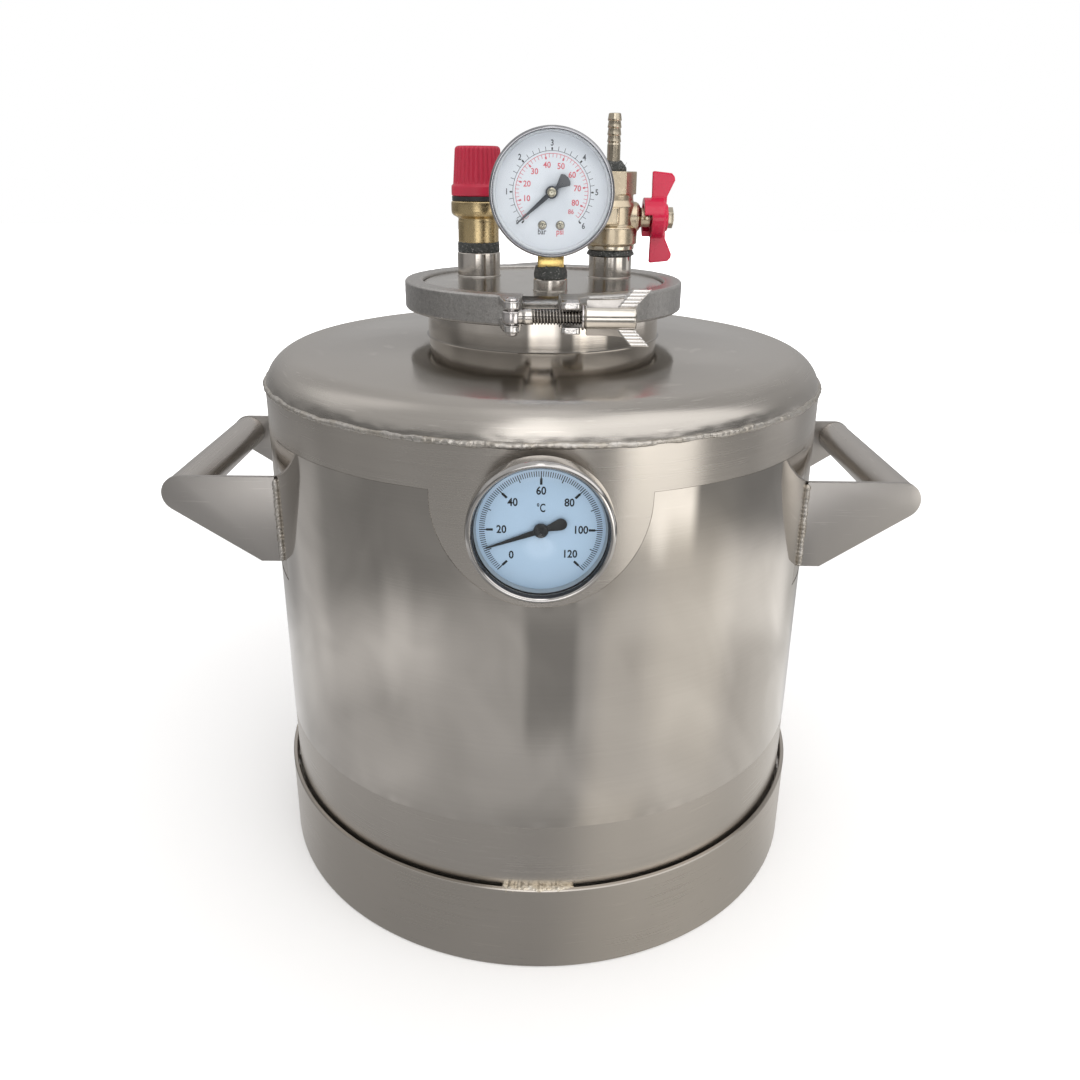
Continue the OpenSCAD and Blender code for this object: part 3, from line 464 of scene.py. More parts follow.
def gauge_at(y, dx=0, dz=0):
    return facing_front(GAUGE_X + dx, y, GAUGE_Z + dz)


def thermo_at(y):
    return facing_front(0, y, THERMO_Z)


def lerp(a, b, frac):
    return a + (b - a) * frac


def smooth_step(x, start, end):
    frac = max(0.0, min(1.0, (x - start) / (end - start)))
    return frac * frac * (3 - 2 * frac)


def lump(x, y, z, size, seed):
    """Noise of about -1 to 1 with features of the given size."""
    return noise.noise(Vector((x / size + seed, y / size + seed * 1.7 + 3,
                               z / size - seed * 2.3)))


def push_out(x, y, offset):
    radius = hypot(x, y)
    scale = (radius + offset) / radius
    return x * scale, y * scale


# Warps for lathe(): each returns a function of (x, y, z, turn) giving the moved point.
def pushed(offset):
    """Moves points away from the axis by offset(x, y, z)."""
    return lambda x, y, z, turn: (*push_out(x, y, offset(x, y, z)), z)


def uneven(amp, size, seed, z_scale=1.0):
    """Scales points about the axis by a noise of relative strength amp."""
    def warp(x, y, z, turn):
        scale = 1 + amp * lump(x, y, z * z_scale, size, seed)
        return x * scale, y * scale, z
    return warp


def shifted(size, seed_x, seed_y, z_scale=1.0):
    return lambda x, y, z, turn: (x + 0.05 * lump(x, y, z * z_scale, size, seed_x),
                                  y + 0.05 * lump(x, y, z * z_scale, size, seed_y), z)


# ---------------------------------------------------------------- mesh helpers
BOX_FACES = ((0, 3, 2, 1), (4, 5, 6, 7), (0, 1, 5, 4), (1, 2, 6, 5), (2, 3, 7, 6),
             (3, 0, 4, 7))


def add_object(name, mesh):
    ob = bpy.data.objects.new(name, mesh)
    bpy.context.scene.collection.objects.link(ob)
    return ob


def smooth_by(ob, angle):
    mesh = ob.data
    mesh.polygons.foreach_set("use_smooth", [True] * len(mesh.polygons))
    mesh.set_sharp_from_angle(angle=radians(angle))
    return ob


def get_vectors(items, attribute):
    values = np.zeros(len(items) * 3)
    items.foreach_get(attribute, values)
    return values.reshape(-1, 3)


def mesh_object(verts, faces, at=None, material=None, smooth=True, angle=38, name="part"):
    """A cleaned mesh from millimetre points placed by the matrix at."""
    mesh = bpy.data.meshes.new(name)
    points = np.asarray(verts, float).reshape(-1, 3)
    if at is not None:
        matrix = np.array(at)
        points = points @ matrix[:3, :3].T + matrix[:3, 3]
    mesh.from_pydata((points * MM).tolist(), [], [tuple(int(i) for i in f) for f in faces])
    mesh.validate()
    bm = bmesh.new()
    bm.from_mesh(mesh)
    bmesh.ops.remove_doubles(bm, verts=bm.verts, dist=2e-7)
    bmesh.ops.recalc_face_normals(bm, faces=bm.faces)
    bm.to_mesh(mesh)
    bm.free()
    ob = add_object(name, mesh)
    if material:
        mesh.materials.append(material)
    return smooth_by(ob, angle) if smooth else ob


def bmesh_object(bm, at, material, angle=38, name="part"):
    mesh = bpy.data.meshes.new(name)
    matrix = Matrix.Scale(MM, 4) @ (at or Matrix.Identity(4))
    bmesh.ops.transform(bm, matrix=matrix, verts=bm.verts)
    bm.to_mesh(mesh)
    bm.free()
    ob = add_object(name, mesh)
    mesh.materials.append(material)
    return smooth_by(ob, angle)


def fillet(points, radius, seg):
    """Rounds the corners of a closed 2-D outline with seg segments each."""
    out = []
    for i, point in enumerate(points):
        p = Vector(point)
        back = Vector(points[i - 1]) - p
        ahead = Vector(points[(i + 1) % len(points)]) - p
        back_len, ahead_len = back.length, ahead.length
        back.normalize()
        ahead.normalize()
        corner = acos(max(-1, min(1, back.dot(ahead))))
        if back_len < 1e-6 or ahead_len < 1e-6 or corner > radians(172):
            out.append(tuple(p))
            continue
        cut = min(radius / tan(corner / 2), back_len * 0.48, ahead_len * 0.48)
        fitted = cut * tan(corner / 2)
        centre = p + (back + ahead).normalized() * (fitted / sin(corner / 2))
        first, last = p + back * cut - centre, p + ahead * cut - centre
        start = atan2(first.y, first.x)
        span = (atan2(last.y, last.x) - start + pi) % (2 * pi) - pi
        for k in range(seg + 1):
            angle = start + span * k / seg
            out.append((centre.x + fitted * cos(angle), centre.y + fitted * sin(angle)))
    return out


def lathe(outline, n, at, material, soft=0, seg=2, warp=None, angle=38, name="part"):
    """Revolves a closed (radius, z) outline about local z in n steps.

    soft and seg are the radius and segments of its rounded corners.
    """
    points = fillet(outline, soft, seg) if soft else list(outline)
    m = len(points)
    verts, faces = [], []
    for j in range(n):
        turn = radians(360.0 * j / n)
        for radius, z in points:
            vert = (radius * cos(turn), radius * sin(turn), z)
            verts.append(warp(*vert, turn) if warp else vert)
    for j in range(n):
        j2 = (j + 1) % n
        for i in range(m):
            k = (i + 1) % m
            quad = [j * m + i, j2 * m + i, j2 * m + k, j * m + k]
            on_axis, next_on_axis = points[i][0] < 1e-6, points[k][0] < 1e-6
            if on_axis and next_on_axis:
                continue
            if on_axis:
                del quad[1]
            elif next_on_axis:
                del quad[3]
            faces.append(quad)
    return mesh_object(verts, faces, at, material, angle=angle, name=name)


def extrude(outline, z0, z1, at, material, bevel, seg=2):
    """A flat (x, y) outline extruded from z0 to z1 with rounded edges."""
    bm = bmesh.new()
    face = bm.faces.new([bm.verts.new((x, y, z0)) for x, y in outline])
    made = bmesh.ops.extrude_face_region(bm, geom=[face])
    top = [item for item in made["geom"] if isinstance(item, bmesh.types.BMVert)]
    bmesh.ops.translate(bm, verts=top, vec=(0, 0, z1 - z0))
    bmesh.ops.recalc_face_normals(bm, faces=bm.faces)
    edges = [e for e in bm.edges
             if len(e.link_faces) == 2 and e.calc_face_angle(0) > radians(28)]
    bmesh.ops.bevel(bm, geom=edges, offset=bevel, segments=seg, profile=0.6,
                    affect="EDGES", clamp_overlap=True)
    return bmesh_object(bm, at, material)


def tube_faces(rings, n):
    """Quads between rings of n points, and a cap at each end."""
    faces = []
    for i in range(rings - 1):
        for k in range(n):
            k2 = (k + 1) % n
            faces.append([i * n + k, i * n + k2, (i + 1) * n + k2, (i + 1) * n + k])
    return faces + [list(range(n))[::-1], [(rings - 1) * n + k for k in range(n)]]


def sweep(points, radius, n, material):
    """A tube along a polyline; radius(i, angle) gives its size."""
    path = [Vector(p) for p in points]
    verts = []
    side = None
    for i, p in enumerate(path):
        along = (path[min(i + 1, len(path) - 1)] - path[max(i - 1, 0)]).normalized()
        if side is None:
            side = Vector((0, 0, 1)) if abs(along.z) < 0.9 else Vector((1, 0, 0))
        side = (side - along * side.dot(along)).normalized()
        other = along.cross(side)
        for k in range(n):
            angle = 2 * pi * k / n
            verts.append(tuple(p + (side * cos(angle) + other * sin(angle))
                               * radius(i, angle)))
    return mesh_object(verts, tube_faces(len(path), n), None, material, angle=60)


def apply_mods(ob):
    depsgraph = bpy.context.evaluated_depsgraph_get()
    depsgraph.update()
    mesh = bpy.data.meshes.new_from_object(ob.evaluated_get(depsgraph))
    ob.modifiers.clear()
    ob.data = mesh


def cut_away(ob, cutter):
    mod = ob.modifiers.new("cut", "BOOLEAN")
    mod.object = cutter
    mod.operation = "DIFFERENCE"
    mod.solver = "EXACT"
    apply_mods(ob)
    bpy.data.objects.remove(cutter)
    smooth_by(ob, 34)


def drill(ob, at, radius, z0, z1, n):
    cut_away(ob, lathe([(0, z0), (radius, z0), (radius, z1), (0, z1)], n, at, None))


def remesh(ob, voxel, smooth):
    """Voxel remesh into one soft skin, relaxed smooth times."""
    mod = ob.modifiers.new("r", "REMESH")
    mod.mode = "VOXEL"
    mod.voxel_size = voxel * MM
    mod.use_smooth_shade = True
    relax = ob.modifiers.new("s", "SMOOTH")
    relax.factor = 0.5
    relax.iterations = smooth
    apply_mods(ob)
    ob.data.polygons.foreach_set("use_smooth", [True] * len(ob.data.polygons))


def roughen(ob, amp, scale, seed):
    """Moves vertices along their normals by fractal noise."""
    mesh = ob.data
    normals = get_vectors(mesh.vertices, "normal")
    coords = get_vectors(mesh.vertices, "co")
    shift = Vector((seed, seed * 2, seed * 3))
    height = np.array([noise.fractal(Vector(c) * (1000 / scale) + shift, 0.8, 2.1, 3)
                       for c in coords])
    coords = coords + normals * (height * amp * MM)[:, None]
    mesh.vertices.foreach_set("co", coords.ravel())
    mesh.update()


def cad_skin(node, material, voxel, smooth, bumps):
    """A CAD piece with a soft cast skin. bumps holds (amp, scale, seed) rows."""
    mesh = CAD_NODES[node].data.copy()
    mesh.materials.clear()
    bm = bmesh.new()
    bm.from_mesh(mesh)
    bmesh.ops.remove_doubles(bm, verts=bm.verts, dist=2e-6)
    bmesh.ops.dissolve_limit(bm, angle_limit=radians(0.6), verts=bm.verts, edges=bm.edges)
    bm.to_mesh(mesh)
    bm.free()
    ob = add_object(node + "_v", mesh)
    mesh.materials.append(material)
    smooth_by(ob, 34)
    remesh(ob, voxel, smooth)
    for bump in bumps:
        roughen(ob, *bump)
    return ob


def join(name, parts):
    """One object from several; all faces of a part take its first material."""
    materials = []
    bm = bmesh.new()
    for part in parts:
        material = part.data.materials[0]
        if material not in materials:
            materials.append(material)
        first_face = len(bm.faces)
        bm.from_mesh(part.data)
        bm.faces.ensure_lookup_table()
        for face in bm.faces[first_face:]:
            face.material_index = materials.index(material)
    mesh = bpy.data.meshes.new(name)
    bm.to_mesh(mesh)
    bm.free()
    for material in materials:
        mesh.materials.append(material)
    for part in parts:
        bpy.data.objects.remove(part)
    return add_object(name, mesh)


def finish(ob, node):
    """Puts a finished piece in place of its CAD node."""
    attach(ob, BODY_OF[node])
    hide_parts(node)


def lathe_piece(node, outline, n, at, material, **options):
    finish(lathe(outline, n, at, material, name=node + "_v", **options), node)


def joined_piece(node, parts, angle=None):
    ob = join(node + "_v", parts)
    if angle:
        smooth_by(ob, angle)
    finish(ob, node)


# ---------------------------------------------------------------- printing on the dials
SCALE_START = -135                      # degrees clockwise from the top of the dial


def dial_angle(turn):
    """Mathematical angle of a point turn degrees clockwise along the scale."""
    return radians(90 - (SCALE_START + turn))


def label(text, x, y, size, at, material, squeeze, bold, z=0.01):
    curve = bpy.data.curves.new("part", "FONT")
    curve.body = text
    curve.size = size
    curve.align_x = "CENTER"
    curve.align_y = "CENTER"
    curve.offset = bold
    curve.extrude = 0.015
    curve.resolution_u = 3
    ob = add_object("part", curve)
    depsgraph = bpy.context.evaluated_depsgraph_get()
    mesh = bpy.data.meshes.new_from_object(ob.evaluated_get(depsgraph))
    bpy.data.objects.remove(ob)
    points = get_vectors(mesh.vertices, "co")
    points[:, 0] *= squeeze
    points += np.array([x, y, z])
    matrix = np.array(at)
    points = (points @ matrix[:3, :3].T + matrix[:3, 3]) * MM
    mesh.vertices.foreach_set("co", points.ravel())
    mesh.materials.clear()
    mesh.materials.append(material)
    return add_object("part", mesh)


def ticks(rows, at, material, thick=0.03):
    """Thin bars: rows of (degrees from the top, inner radius, outer radius, width)."""
    verts, faces = [], []
    for angle, inner, outer, width in rows:
        c, s = cos(radians(90 - angle)), sin(radians(90 - angle))
        first = len(verts)
        half = width / 2
        for z in (0.0, thick):
            for along, side in ((inner, -half), (outer, -half), (outer, half), (inner, half)):
                verts.append((along * c - side * s, along * s + side * c, z))
        faces += [[first + i for i in quad] for quad in BOX_FACES]
    return mesh_object(verts, faces, at, material, smooth=False)


def arc_band(inner, outer, start, end, at, material, n=90):
    verts, faces = [], []
    for j in range(n + 1):
        angle = radians(90 - (start + (end - start) * j / n))
        for radius in (inner, outer):
            for z in (0.0, 0.03):
                verts.append((radius * cos(angle), radius * sin(angle), z))
    for k in range(0, 4 * n, 4):
        faces += [[k + 1, k + 3, k + 7, k + 5], [k, k + 4, k + 6, k + 2],
                  [k, k + 1, k + 5, k + 4], [k + 2, k + 6, k + 7, k + 3]]
    faces += [[0, 2, 3, 1], [n * 4 + i for i in (0, 1, 3, 2)]]
    return mesh_object(verts, faces, at, material, smooth=False)


# ---------------------------------------------------------------- vessel shell and heads
THERMO_BORE = 13.2


def shell_lump(x, y, z):
    return 0.10 * lump(x, y, z * 0.5, 70, 3) + 0.035 * lump(x, y, z * 0.6, 24, 8)


outline = [(SHELL_R, lerp(SEAM_LO, SEAM_HI, i / 66)) for i in range(67)]
outline += [(SHELL_R - SHEET, SEAM_HI), (SHELL_R - SHEET, SEAM_LO)]
shell = lathe(outline, 360, None, SHELL_STEEL, warp=pushed(shell_lump), name="vessel_shell_v")
drill(shell, thermo_at(0), THERMO_BORE, 120, 200, 96)
finish(shell, "vessel_shell")


def head_outline(inset):
    """Crown arc from the neck opening, then the knuckle arc down to the seam."""
    crown, knuckle = CROWN_R - inset, KNUCKLE_R - inset
    centre_z = HEAD_TOP - CROWN_R
    tangent = atan2(KNUCKLE_Z - centre_z, KNUCKLE_X)
    out = []
    for i in range(45):
        x = lerp(69.95, crown * cos(tangent), i / 44)
        out.append((x, centre_z + sqrt(crown * crown - x * x)))
    seam = asin((SEAM_HI - KNUCKLE_Z) / knuckle)
    for i in range(1, 31):
        angle = lerp(tangent, seam, i / 30)
        out.append((KNUCKLE_X + knuckle * cos(angle), KNUCKLE_Z + knuckle * sin(angle)))
    return out


def head_warp(x, y, z, turn):
    """Slow dents, ripples beside the weld and one bulge on the left of the rim."""
    radius = hypot(x, y)
    slope = atan2(z - KNUCKLE_Z, radius - KNUCKLE_X) if radius > KNUCKLE_X else pi / 2
    near = exp(-((z - 307.5) / 3.2) ** 2) if radius > 150 else 0.0
    offset = 0.16 * lump(x, y, z, 55, 4) + 0.05 * lump(x, y, z, 20, 6)
    ripple = 0.20 * lump(x, y, z * 1.5, 10, 5) + 0.09 * lump(x, y, z * 2, 4.0, 9)
    offset += near * ripple * (1.3 if y < 0 else 0.8) - near * 0.12
    offset += 0.9 * exp(-((turn - pi) / 0.035) ** 2) * exp(-((z - 308) / 3.5) ** 2)
    return (*push_out(x, y, offset * cos(slope)), z + offset * sin(slope))


outer = head_outline(0)
inner = head_outline(SHEET)[::-1]
lathe_piece("top_head", outer + inner, 540, None, HEAD_STEEL, warp=head_warp)
outline = [(0.0, HEAD_FLIP_Z - HEAD_TOP)]
outline += [(x if i else 0.01, HEAD_FLIP_Z - z) for i, (x, z) in enumerate(outer)]
outline += [(x, HEAD_FLIP_Z - z) for x, z in inner]
outline += [(0.0, HEAD_FLIP_Z - (HEAD_TOP - SHEET))]
lathe_piece("bottom_head", outline, 180, None, INNER_STEEL)


def seam_bead(height, half_width, seed):
    """Verts and faces of an irregular weld bead round the wall."""
    n, m = 1500, 11
    verts, faces = [], []
    for j in range(n):
        turn = 2 * pi * j / n
        x, y = cos(turn) * 168, sin(turn) * 168
        mid_z = height + 0.75 * lump(x, y, 0, 14, seed) + 0.25 * lump(x, y, 0, 3.5, seed + 2)
        half = half_width * (0.72 + 0.32 * lump(x, y, 0, 9, seed + 5))
        scales = abs(sin(turn * 168 / 1.25 + 2 * lump(x, y, 0, 12, seed)))
        proud = 1.15 + 0.40 * lump(x, y, 0, 6, seed + 7) + 0.38 * scales
        if lump(x, y, 0, 22, seed + 11) > 0.30:
            proud *= 0.55
        for i in range(m):
            angle = lerp(-pi / 2, pi / 2, i / (m - 1))
            radius = (SHELL_R - 0.15 + max(0.12, proud) * cos(angle) ** 0.8
                      + 0.16 * lump(x * 3, y * 3, i * 1.5, 2.0, seed + 4))
            z = mid_z + half * sin(angle)
            if z > SEAM_HI:  # follow the knuckle inwards
                knuckle_x = sqrt(max(0, KNUCKLE_R ** 2 - (z - KNUCKLE_Z) ** 2))
                radius -= KNUCKLE_R - knuckle_x - 0.35
            verts.append((radius * cos(turn), radius * sin(turn), z))
    for j in range(n):
        j2 = (j + 1) % n
        for i in range(m - 1):
            faces.append([j * m + i, j2 * m + i, j2 * m + i + 1, j * m + i + 1])
        faces.append([j * m + m - 1, j2 * m + m - 1, j2 * m, j * m])
    return verts, faces


top_verts, top_faces = seam_bead(305.4, 2.05, 1.0)
low_verts, low_faces = seam_bead(39.6, 1.2, 5.0)
faces = top_faces + [[i + len(top_verts) for i in face] for face in low_faces]
finish(mesh_object(top_verts + low_verts, faces, None, WELD, angle=50,
                   name="seam_weld_beads_v"), "seam_weld_beads")


# ---------------------------------------------------------------- base ring and tack welds
def ring_warp(x, y, z, turn):
    lift = 0.25 * lump(x, y, 0, 40, 13) if z > 50 else 0.0
    return (*push_out(x, y, 0.14 * lump(x, y, z, 60, 12)), z + lift)


outline = [(171, z) for z in np.linspace(0.6, 53.4, 14)]
outline += [(170.5, 54), (168.9, 54), (168.4, 53.5), (168.4, 0.5), (168.9, 0), (170.4, 0)]
lathe_piece("base_ring", outline, 420, None, RING_STEEL, warp=ring_warp)

drops = []                              # ellipsoids: centre x, y, z, then half axes
for k, (ax, ay) in enumerate(((0, -1), (1, 0), (0, 1), (-1, 0))):
    rng = random.Random(40 + k)
    for i in range(26):
        along = lerp(-17.5, 17.5, i / 25) + rng.uniform(-0.5, 0.5)
        radius = 168.0 + rng.uniform(-0.2, 0.45)
        turn = atan2(ay, ax) + along / radius
        x, y = radius * cos(turn), radius * sin(turn)
        drops.append((x, y, 53.2 + rng.uniform(-0.35, 0.45), rng.uniform(2.2, 3.0),
                      rng.uniform(2.2, 3.0), rng.uniform(1.2, 1.6)))
        if rng.random() < 0.35:
            drops.append((x * 1.004, y * 1.004, 51.9 + rng.uniform(-0.4, 0.4), 1.8, 1.8, 1.2))
bm = bmesh.new()
for x, y, z, rx, ry, rz in drops:
    for vert in bmesh.ops.create_icosphere(bm, subdivisions=3, radius=1.0)["verts"]:
        vert.co = Vector((x + vert.co.x * rx, y + vert.co.y * ry, z + vert.co.z * rz))
tacks = bmesh_object(bm, None, TACK, 60, name="base_ring_tacks_v")
remesh(tacks, voxel=0.45, smooth=1)
roughen(tacks, amp=0.35, scale=2.2, seed=3.0)
finish(tacks, "base_ring_tacks")

# ---------------------------------------------------------------- protective film
FILM_R = 167.0
FILM_TOP, FILM_SIDE_TOP, FILM_BOTTOM = 281.0, 195.0, 93.0
NOTCH_Z, NOTCH_R = 277.6, 53.6          # round notch below the thermometer


def film():
    """Film on the wall: tall at front and rear, low under the handles."""
    notch = degrees(asin(NOTCH_R / FILM_R))
    side = degrees(acos(78 / FILM_R))
    # angle from, angle to (degrees from the front, towards +X), kind of top edge
    spans = [(-notch, notch, "notch"), (notch, side, "tall"), (side, 180 - side, "low"),
             (180 - side, 180 + side, "tall"), (180 + side, 360 - side, "low"),
             (360 - side, 360 - notch, "tall")]
    verts, faces = [], []
    for start, end, kind in spans:
        n = max(12, int(abs(end - start) / 0.6))
        m = 34 if kind == "low" else 62
        base = len(verts)
        for j in range(n + 1):
            frac = j / n
            if kind == "notch":
                frac = 0.5 - 0.5 * cos(pi * frac)
            turn = radians(lerp(start, end, frac))
            x, y = FILM_R * sin(turn), -FILM_R * cos(turn)
            if kind == "notch":
                top = NOTCH_Z - sqrt(max(0.0, NOTCH_R * NOTCH_R - x * x))
            elif kind == "low":
                top = FILM_SIDE_TOP
            else:
                top = FILM_TOP + 0.35 * lump(x, turn * 60, 0, 30, 2)
            bottom = FILM_BOTTOM + 0.25 * lump(x, turn * 60, 0, 35, 6)
            for i in range(m + 1):
                z = lerp(bottom, top, i / m)
                radius = SHELL_R + 0.205 + shell_lump(x, y, z)
                radius += 0.05 * max(0.0, lump(x, y, z * 0.35, 16, 21))
                # the two front upper corners peel off
                for corner, peel in ((side, 1.9), (360 - side, 0.5)):
                    gap = hypot((degrees(turn) - corner) * 2.9, z - FILM_TOP)
                    if kind == "tall" and gap < 14:
                        radius += peel * (1 - gap / 14) ** 2
                edge = min(abs(z - top), abs(z - bottom))
                if edge < 3:
                    radius += 0.10 * max(0, lump(x, y, z, 7, 31)) * (1 - edge / 3)
                verts.append((radius * sin(turn), -radius * cos(turn), z))
        w = m + 1
        for j in range(n):
            for i in range(m):
                k = base + j * w + i
                faces.append([k, k + w, k + w + 1, k + 1])
    ob = mesh_object(verts, faces, None, FILM_STEEL, angle=30, name="protective_film_v")
    mod = ob.modifiers.new("t", "SOLIDIFY")
    mod.thickness = 0.12 * MM
    mod.offset = -1
    apply_mods(ob)
    return smooth_by(ob, 30)


finish(film(), "protective_film")

# ---------------------------------------------------------------- handles
GRIP_X, GRIP_Z, TIP_R = 209.0, 244.7, 11
FOOT_X, FOOT_Z = 165.5, 203.0
PLATE_Y, PLATE_T = 65, 3                # inner face and thickness of the side plates

# outline of a right-hand plate: foot, round tip about the grip, then back to the wall
wall_x = sqrt((SHELL_R + 0.1) ** 2 - (PLATE_Y + PLATE_T) ** 2) + 1.1
tip_start = (atan2(GRIP_Z - FOOT_Z, GRIP_X - FOOT_X)
             - asin(TIP_R / hypot(GRIP_Z - FOOT_Z, GRIP_X - FOOT_X)) - pi / 2)
right_plate = [(wall_x, FOOT_Z), (FOOT_X, FOOT_Z)]
for i in range(15):
    angle = lerp(tip_start, pi / 2, i / 14)
    right_plate.append((GRIP_X + TIP_R * cos(angle), GRIP_Z + TIP_R * sin(angle)))
right_plate += [(wall_x, GRIP_Z + TIP_R)]
parts = []
for sx in (1, -1):
    outline = [(sx * x, z) for x, z in right_plate][::sx]
    for front_y in (PLATE_Y + PLATE_T, -PLATE_Y):
        parts.append(extrude(outline, 0, PLATE_T, facing_front(0, front_y, 0),
                             PLATE_STEEL, 0.35))
joined_piece("handle_plates", parts, angle=34)

grip = [(10.6, z) for z in np.linspace(-64.6, 64.6, 26)] + [(8.6, 64.9), (8.6, -64.9)]
parts = []
for sx in (1, -1):
    at = Matrix.Translation((sx * GRIP_X, 0, GRIP_Z)) @ Matrix.Rotation(pi / 2, 4, "X")
    parts.append(lathe(grip, 96, at, GRIP_STEEL, warp=pushed(
        lambda x, y, z: 0.05 * lump(x * 3, y * 3, z * 0.6, 18, 4 + sx))))
joined_piece("handle_grips", parts, angle=34)

# a bead along both faces of each plate
parts = []
for i, (sx, sy, k) in enumerate([(sx, sy, k) for sx in (1, -1) for sy in (1, -1)
                                 for k in (0, 1)]):
    bead_y = sy * (PLATE_Y + PLATE_T * k)
    offset = sy * (0.9 if k else -0.9)
    bead_x = sx * (sqrt(SHELL_R ** 2 - bead_y ** 2) + 0.7)
    points, sizes = [], []
    for j in range(121):
        z = lerp(203.6, 254.6, j / 120)
        points.append((bead_x + 0.35 * lump(0, 0, z, 6, i + 1) * sx,
                       bead_y + offset + 0.4 * lump(0, 0, z, 5, i + 9), z))
        taper = min(1, min(j, 120 - j) / 4 + 0.35)
        sizes.append(taper * (1.55 + 0.45 * lump(0, 0, z, 4, i + 20)
                              + 0.28 * abs(sin(z / 0.85 + i))))
    parts.append(sweep(points, lambda q, angle: sizes[q] * (1 + 0.12 * noise.noise(
        Vector((q * 0.35, cos(angle) * 1.5, sin(angle) * 1.5 + i)))), 12, WELD))
joined_piece("handle_weld_beads", parts, angle=60)

# ---------------------------------------------------------------- neck, gasket, lid
NECK_IN, NECK_OUT, FLANGE_R = 67.85, 69.85, 77.5
FLANGE_T = 2.85
tan20 = tan(radians(20))                # slope of the clamped flange faces
flange_foot = GASKET_LO - FLANGE_T - 7.65 * tan20
outline = [(NECK_IN, 326.5), (NECK_OUT, 326.5), (NECK_OUT, 328.2), (70.05, 328.8),
           (NECK_OUT, 329.6)]
outline += [(NECK_OUT, z) for z in np.linspace(331, flange_foot - 0.4, 5)]
outline += [(NECK_OUT, flange_foot), (FLANGE_R, GASKET_LO - FLANGE_T), (FLANGE_R, GASKET_LO),
            (74.6, GASKET_LO), (74.1, GASKET_LO - 0.8), (71.9, GASKET_LO - 0.8),
            (71.4, GASKET_LO), (NECK_IN, GASKET_LO)]
lathe_piece("neck_ferrule", outline, 300, None, NECK_STEEL, soft=0.35, seg=3,
            warp=pushed(lambda x, y, z: 0.05 * lump(x, y, z, 28, 17)))

outline = [(67.95, GASKET_LO), (71.5, GASKET_LO), (72, GASKET_LO - 0.72),
           (74, GASKET_LO - 0.72), (74.5, GASKET_LO), (76.7, GASKET_LO),
           (76.95, GASKET_LO + 0.5), (76.8, CLAMP_Z), (76.95, GASKET_HI - 0.5),
           (76.7, GASKET_HI), (74.5, GASKET_HI), (74, GASKET_HI + 0.72),
           (72, GASKET_HI + 0.72), (71.5, GASKET_HI), (67.95, GASKET_HI)]
lathe_piece("clamp_gasket", outline, 240, None, RUBBER, soft=0.15,
            warp=uneven(0.0008, 9, 2))

lid_top = GASKET_HI + FLANGE_T + 7.5 * tan20
# node, x, y, outer radius, bore radius, top z, noise seed
SOCKETS = [("relief_socket", RELIEF_X, REAR_Y, 13.3, 10.45, 374.2, 1),
           ("valve_socket", VALVE_X, REAR_Y, 13.3, 10.45, 373.0, 2),
           ("gauge_socket", GAUGE_X, GAUGE_Y, 9.4, 6.55, 366.5, 3)]
outline = [(0, GASKET_HI), (71.4, GASKET_HI), (71.9, GASKET_HI + 0.8),
           (74.1, GASKET_HI + 0.8), (74.6, GASKET_HI), (FLANGE_R, GASKET_HI),
           (FLANGE_R, GASKET_HI + FLANGE_T), (70.2, lid_top - 0.06), (69.6, lid_top)]
outline += [(radius, lid_top) for radius in range(60, -1, -10)]
lid = lathe(outline, 240, None, LID_STEEL, soft=0.25, name="lid_plate_v",
            warp=lambda x, y, z, turn: (
                x, y, z + (0.05 * lump(x, y, 0, 30, 3) if z > GASKET_HI + 2 else 0)))
for node, x, y, outer, bore, top, seed in SOCKETS:
    drill(lid, upright(x, y), bore, 340, 380, 64)
finish(lid, "lid_plate")

base = lid_top + 0.06
for node, x, y, outer, bore, top, seed in SOCKETS:
    outline = [(bore, base), (outer - 0.5, base), (outer, base + 0.5)]
    outline += [(outer, z) for z in np.linspace(base + 1, top - 0.9, 4)]
    outline += [(outer, top - 0.6), (outer - 0.6, top), (bore, top)]
    socket = lathe(outline, 160, upright(x, y), SOCKET_STEEL, soft=0.15,
                   warp=uneven(0.0012, 8, seed, z_scale=0.3))
    # weld fillet where the socket meets the lid
    fillet_weld = lathe([(outer - 0.1, base - 0.02), (outer + 0.35, base - 0.02),
                         (outer + 0.08, base + 0.5), (outer - 0.1, base + 0.5)],
                        160, upright(x, y), WELD, soft=0.05, seg=1,
                        warp=uneven(0.006, 3, seed, z_scale=0))
    joined_piece(node, [socket, fillet_weld])

# ---------------------------------------------------------------- clamp
for node, seed in (("clamp_half_left", 3.0), ("clamp_half_right", 8.0)):
    finish(cad_skin(node, CAST_STEEL, voxel=0.5, smooth=3,
                    bumps=[(0.10, 4.0, seed), (0.05, 1.3, seed + 3)]), node)

# node, x, y, pin radius, head radius, half length between heads, head height
for node, x, y, radius, head, half, rise in (
        ("clamp_hinge_pin", 0, 88, 2.95, 4.4, 8.2, 1.6),
        ("clamp_bolt_pin", BOLT_X, BOLT_Y, 1.97, 3.25, 8.0, 1.7)):
    lower = [(0, CLAMP_Z - half - rise), (head * 0.55, CLAMP_Z - half - rise),
             (head * 0.86, CLAMP_Z - half - rise * 0.72),
             (head, CLAMP_Z - half - rise * 0.25), (head, CLAMP_Z - half - 0.05),
             (radius, CLAMP_Z - half - 0.05)]
    upper = [(radius, CLAMP_Z + half + 0.05), (head, CLAMP_Z + half + 0.05),
             (head, CLAMP_Z + half + rise * 0.25),
             (head * 0.86, CLAMP_Z + half + rise * 0.72),
             (head * 0.55, CLAMP_Z + half + rise), (0, CLAMP_Z + half + rise)]
    lathe_piece(node, lower + upper, 64, upright(x, y), POLISHED_STEEL, soft=0.35, seg=3,
                warp=shifted(2, 4, 7))

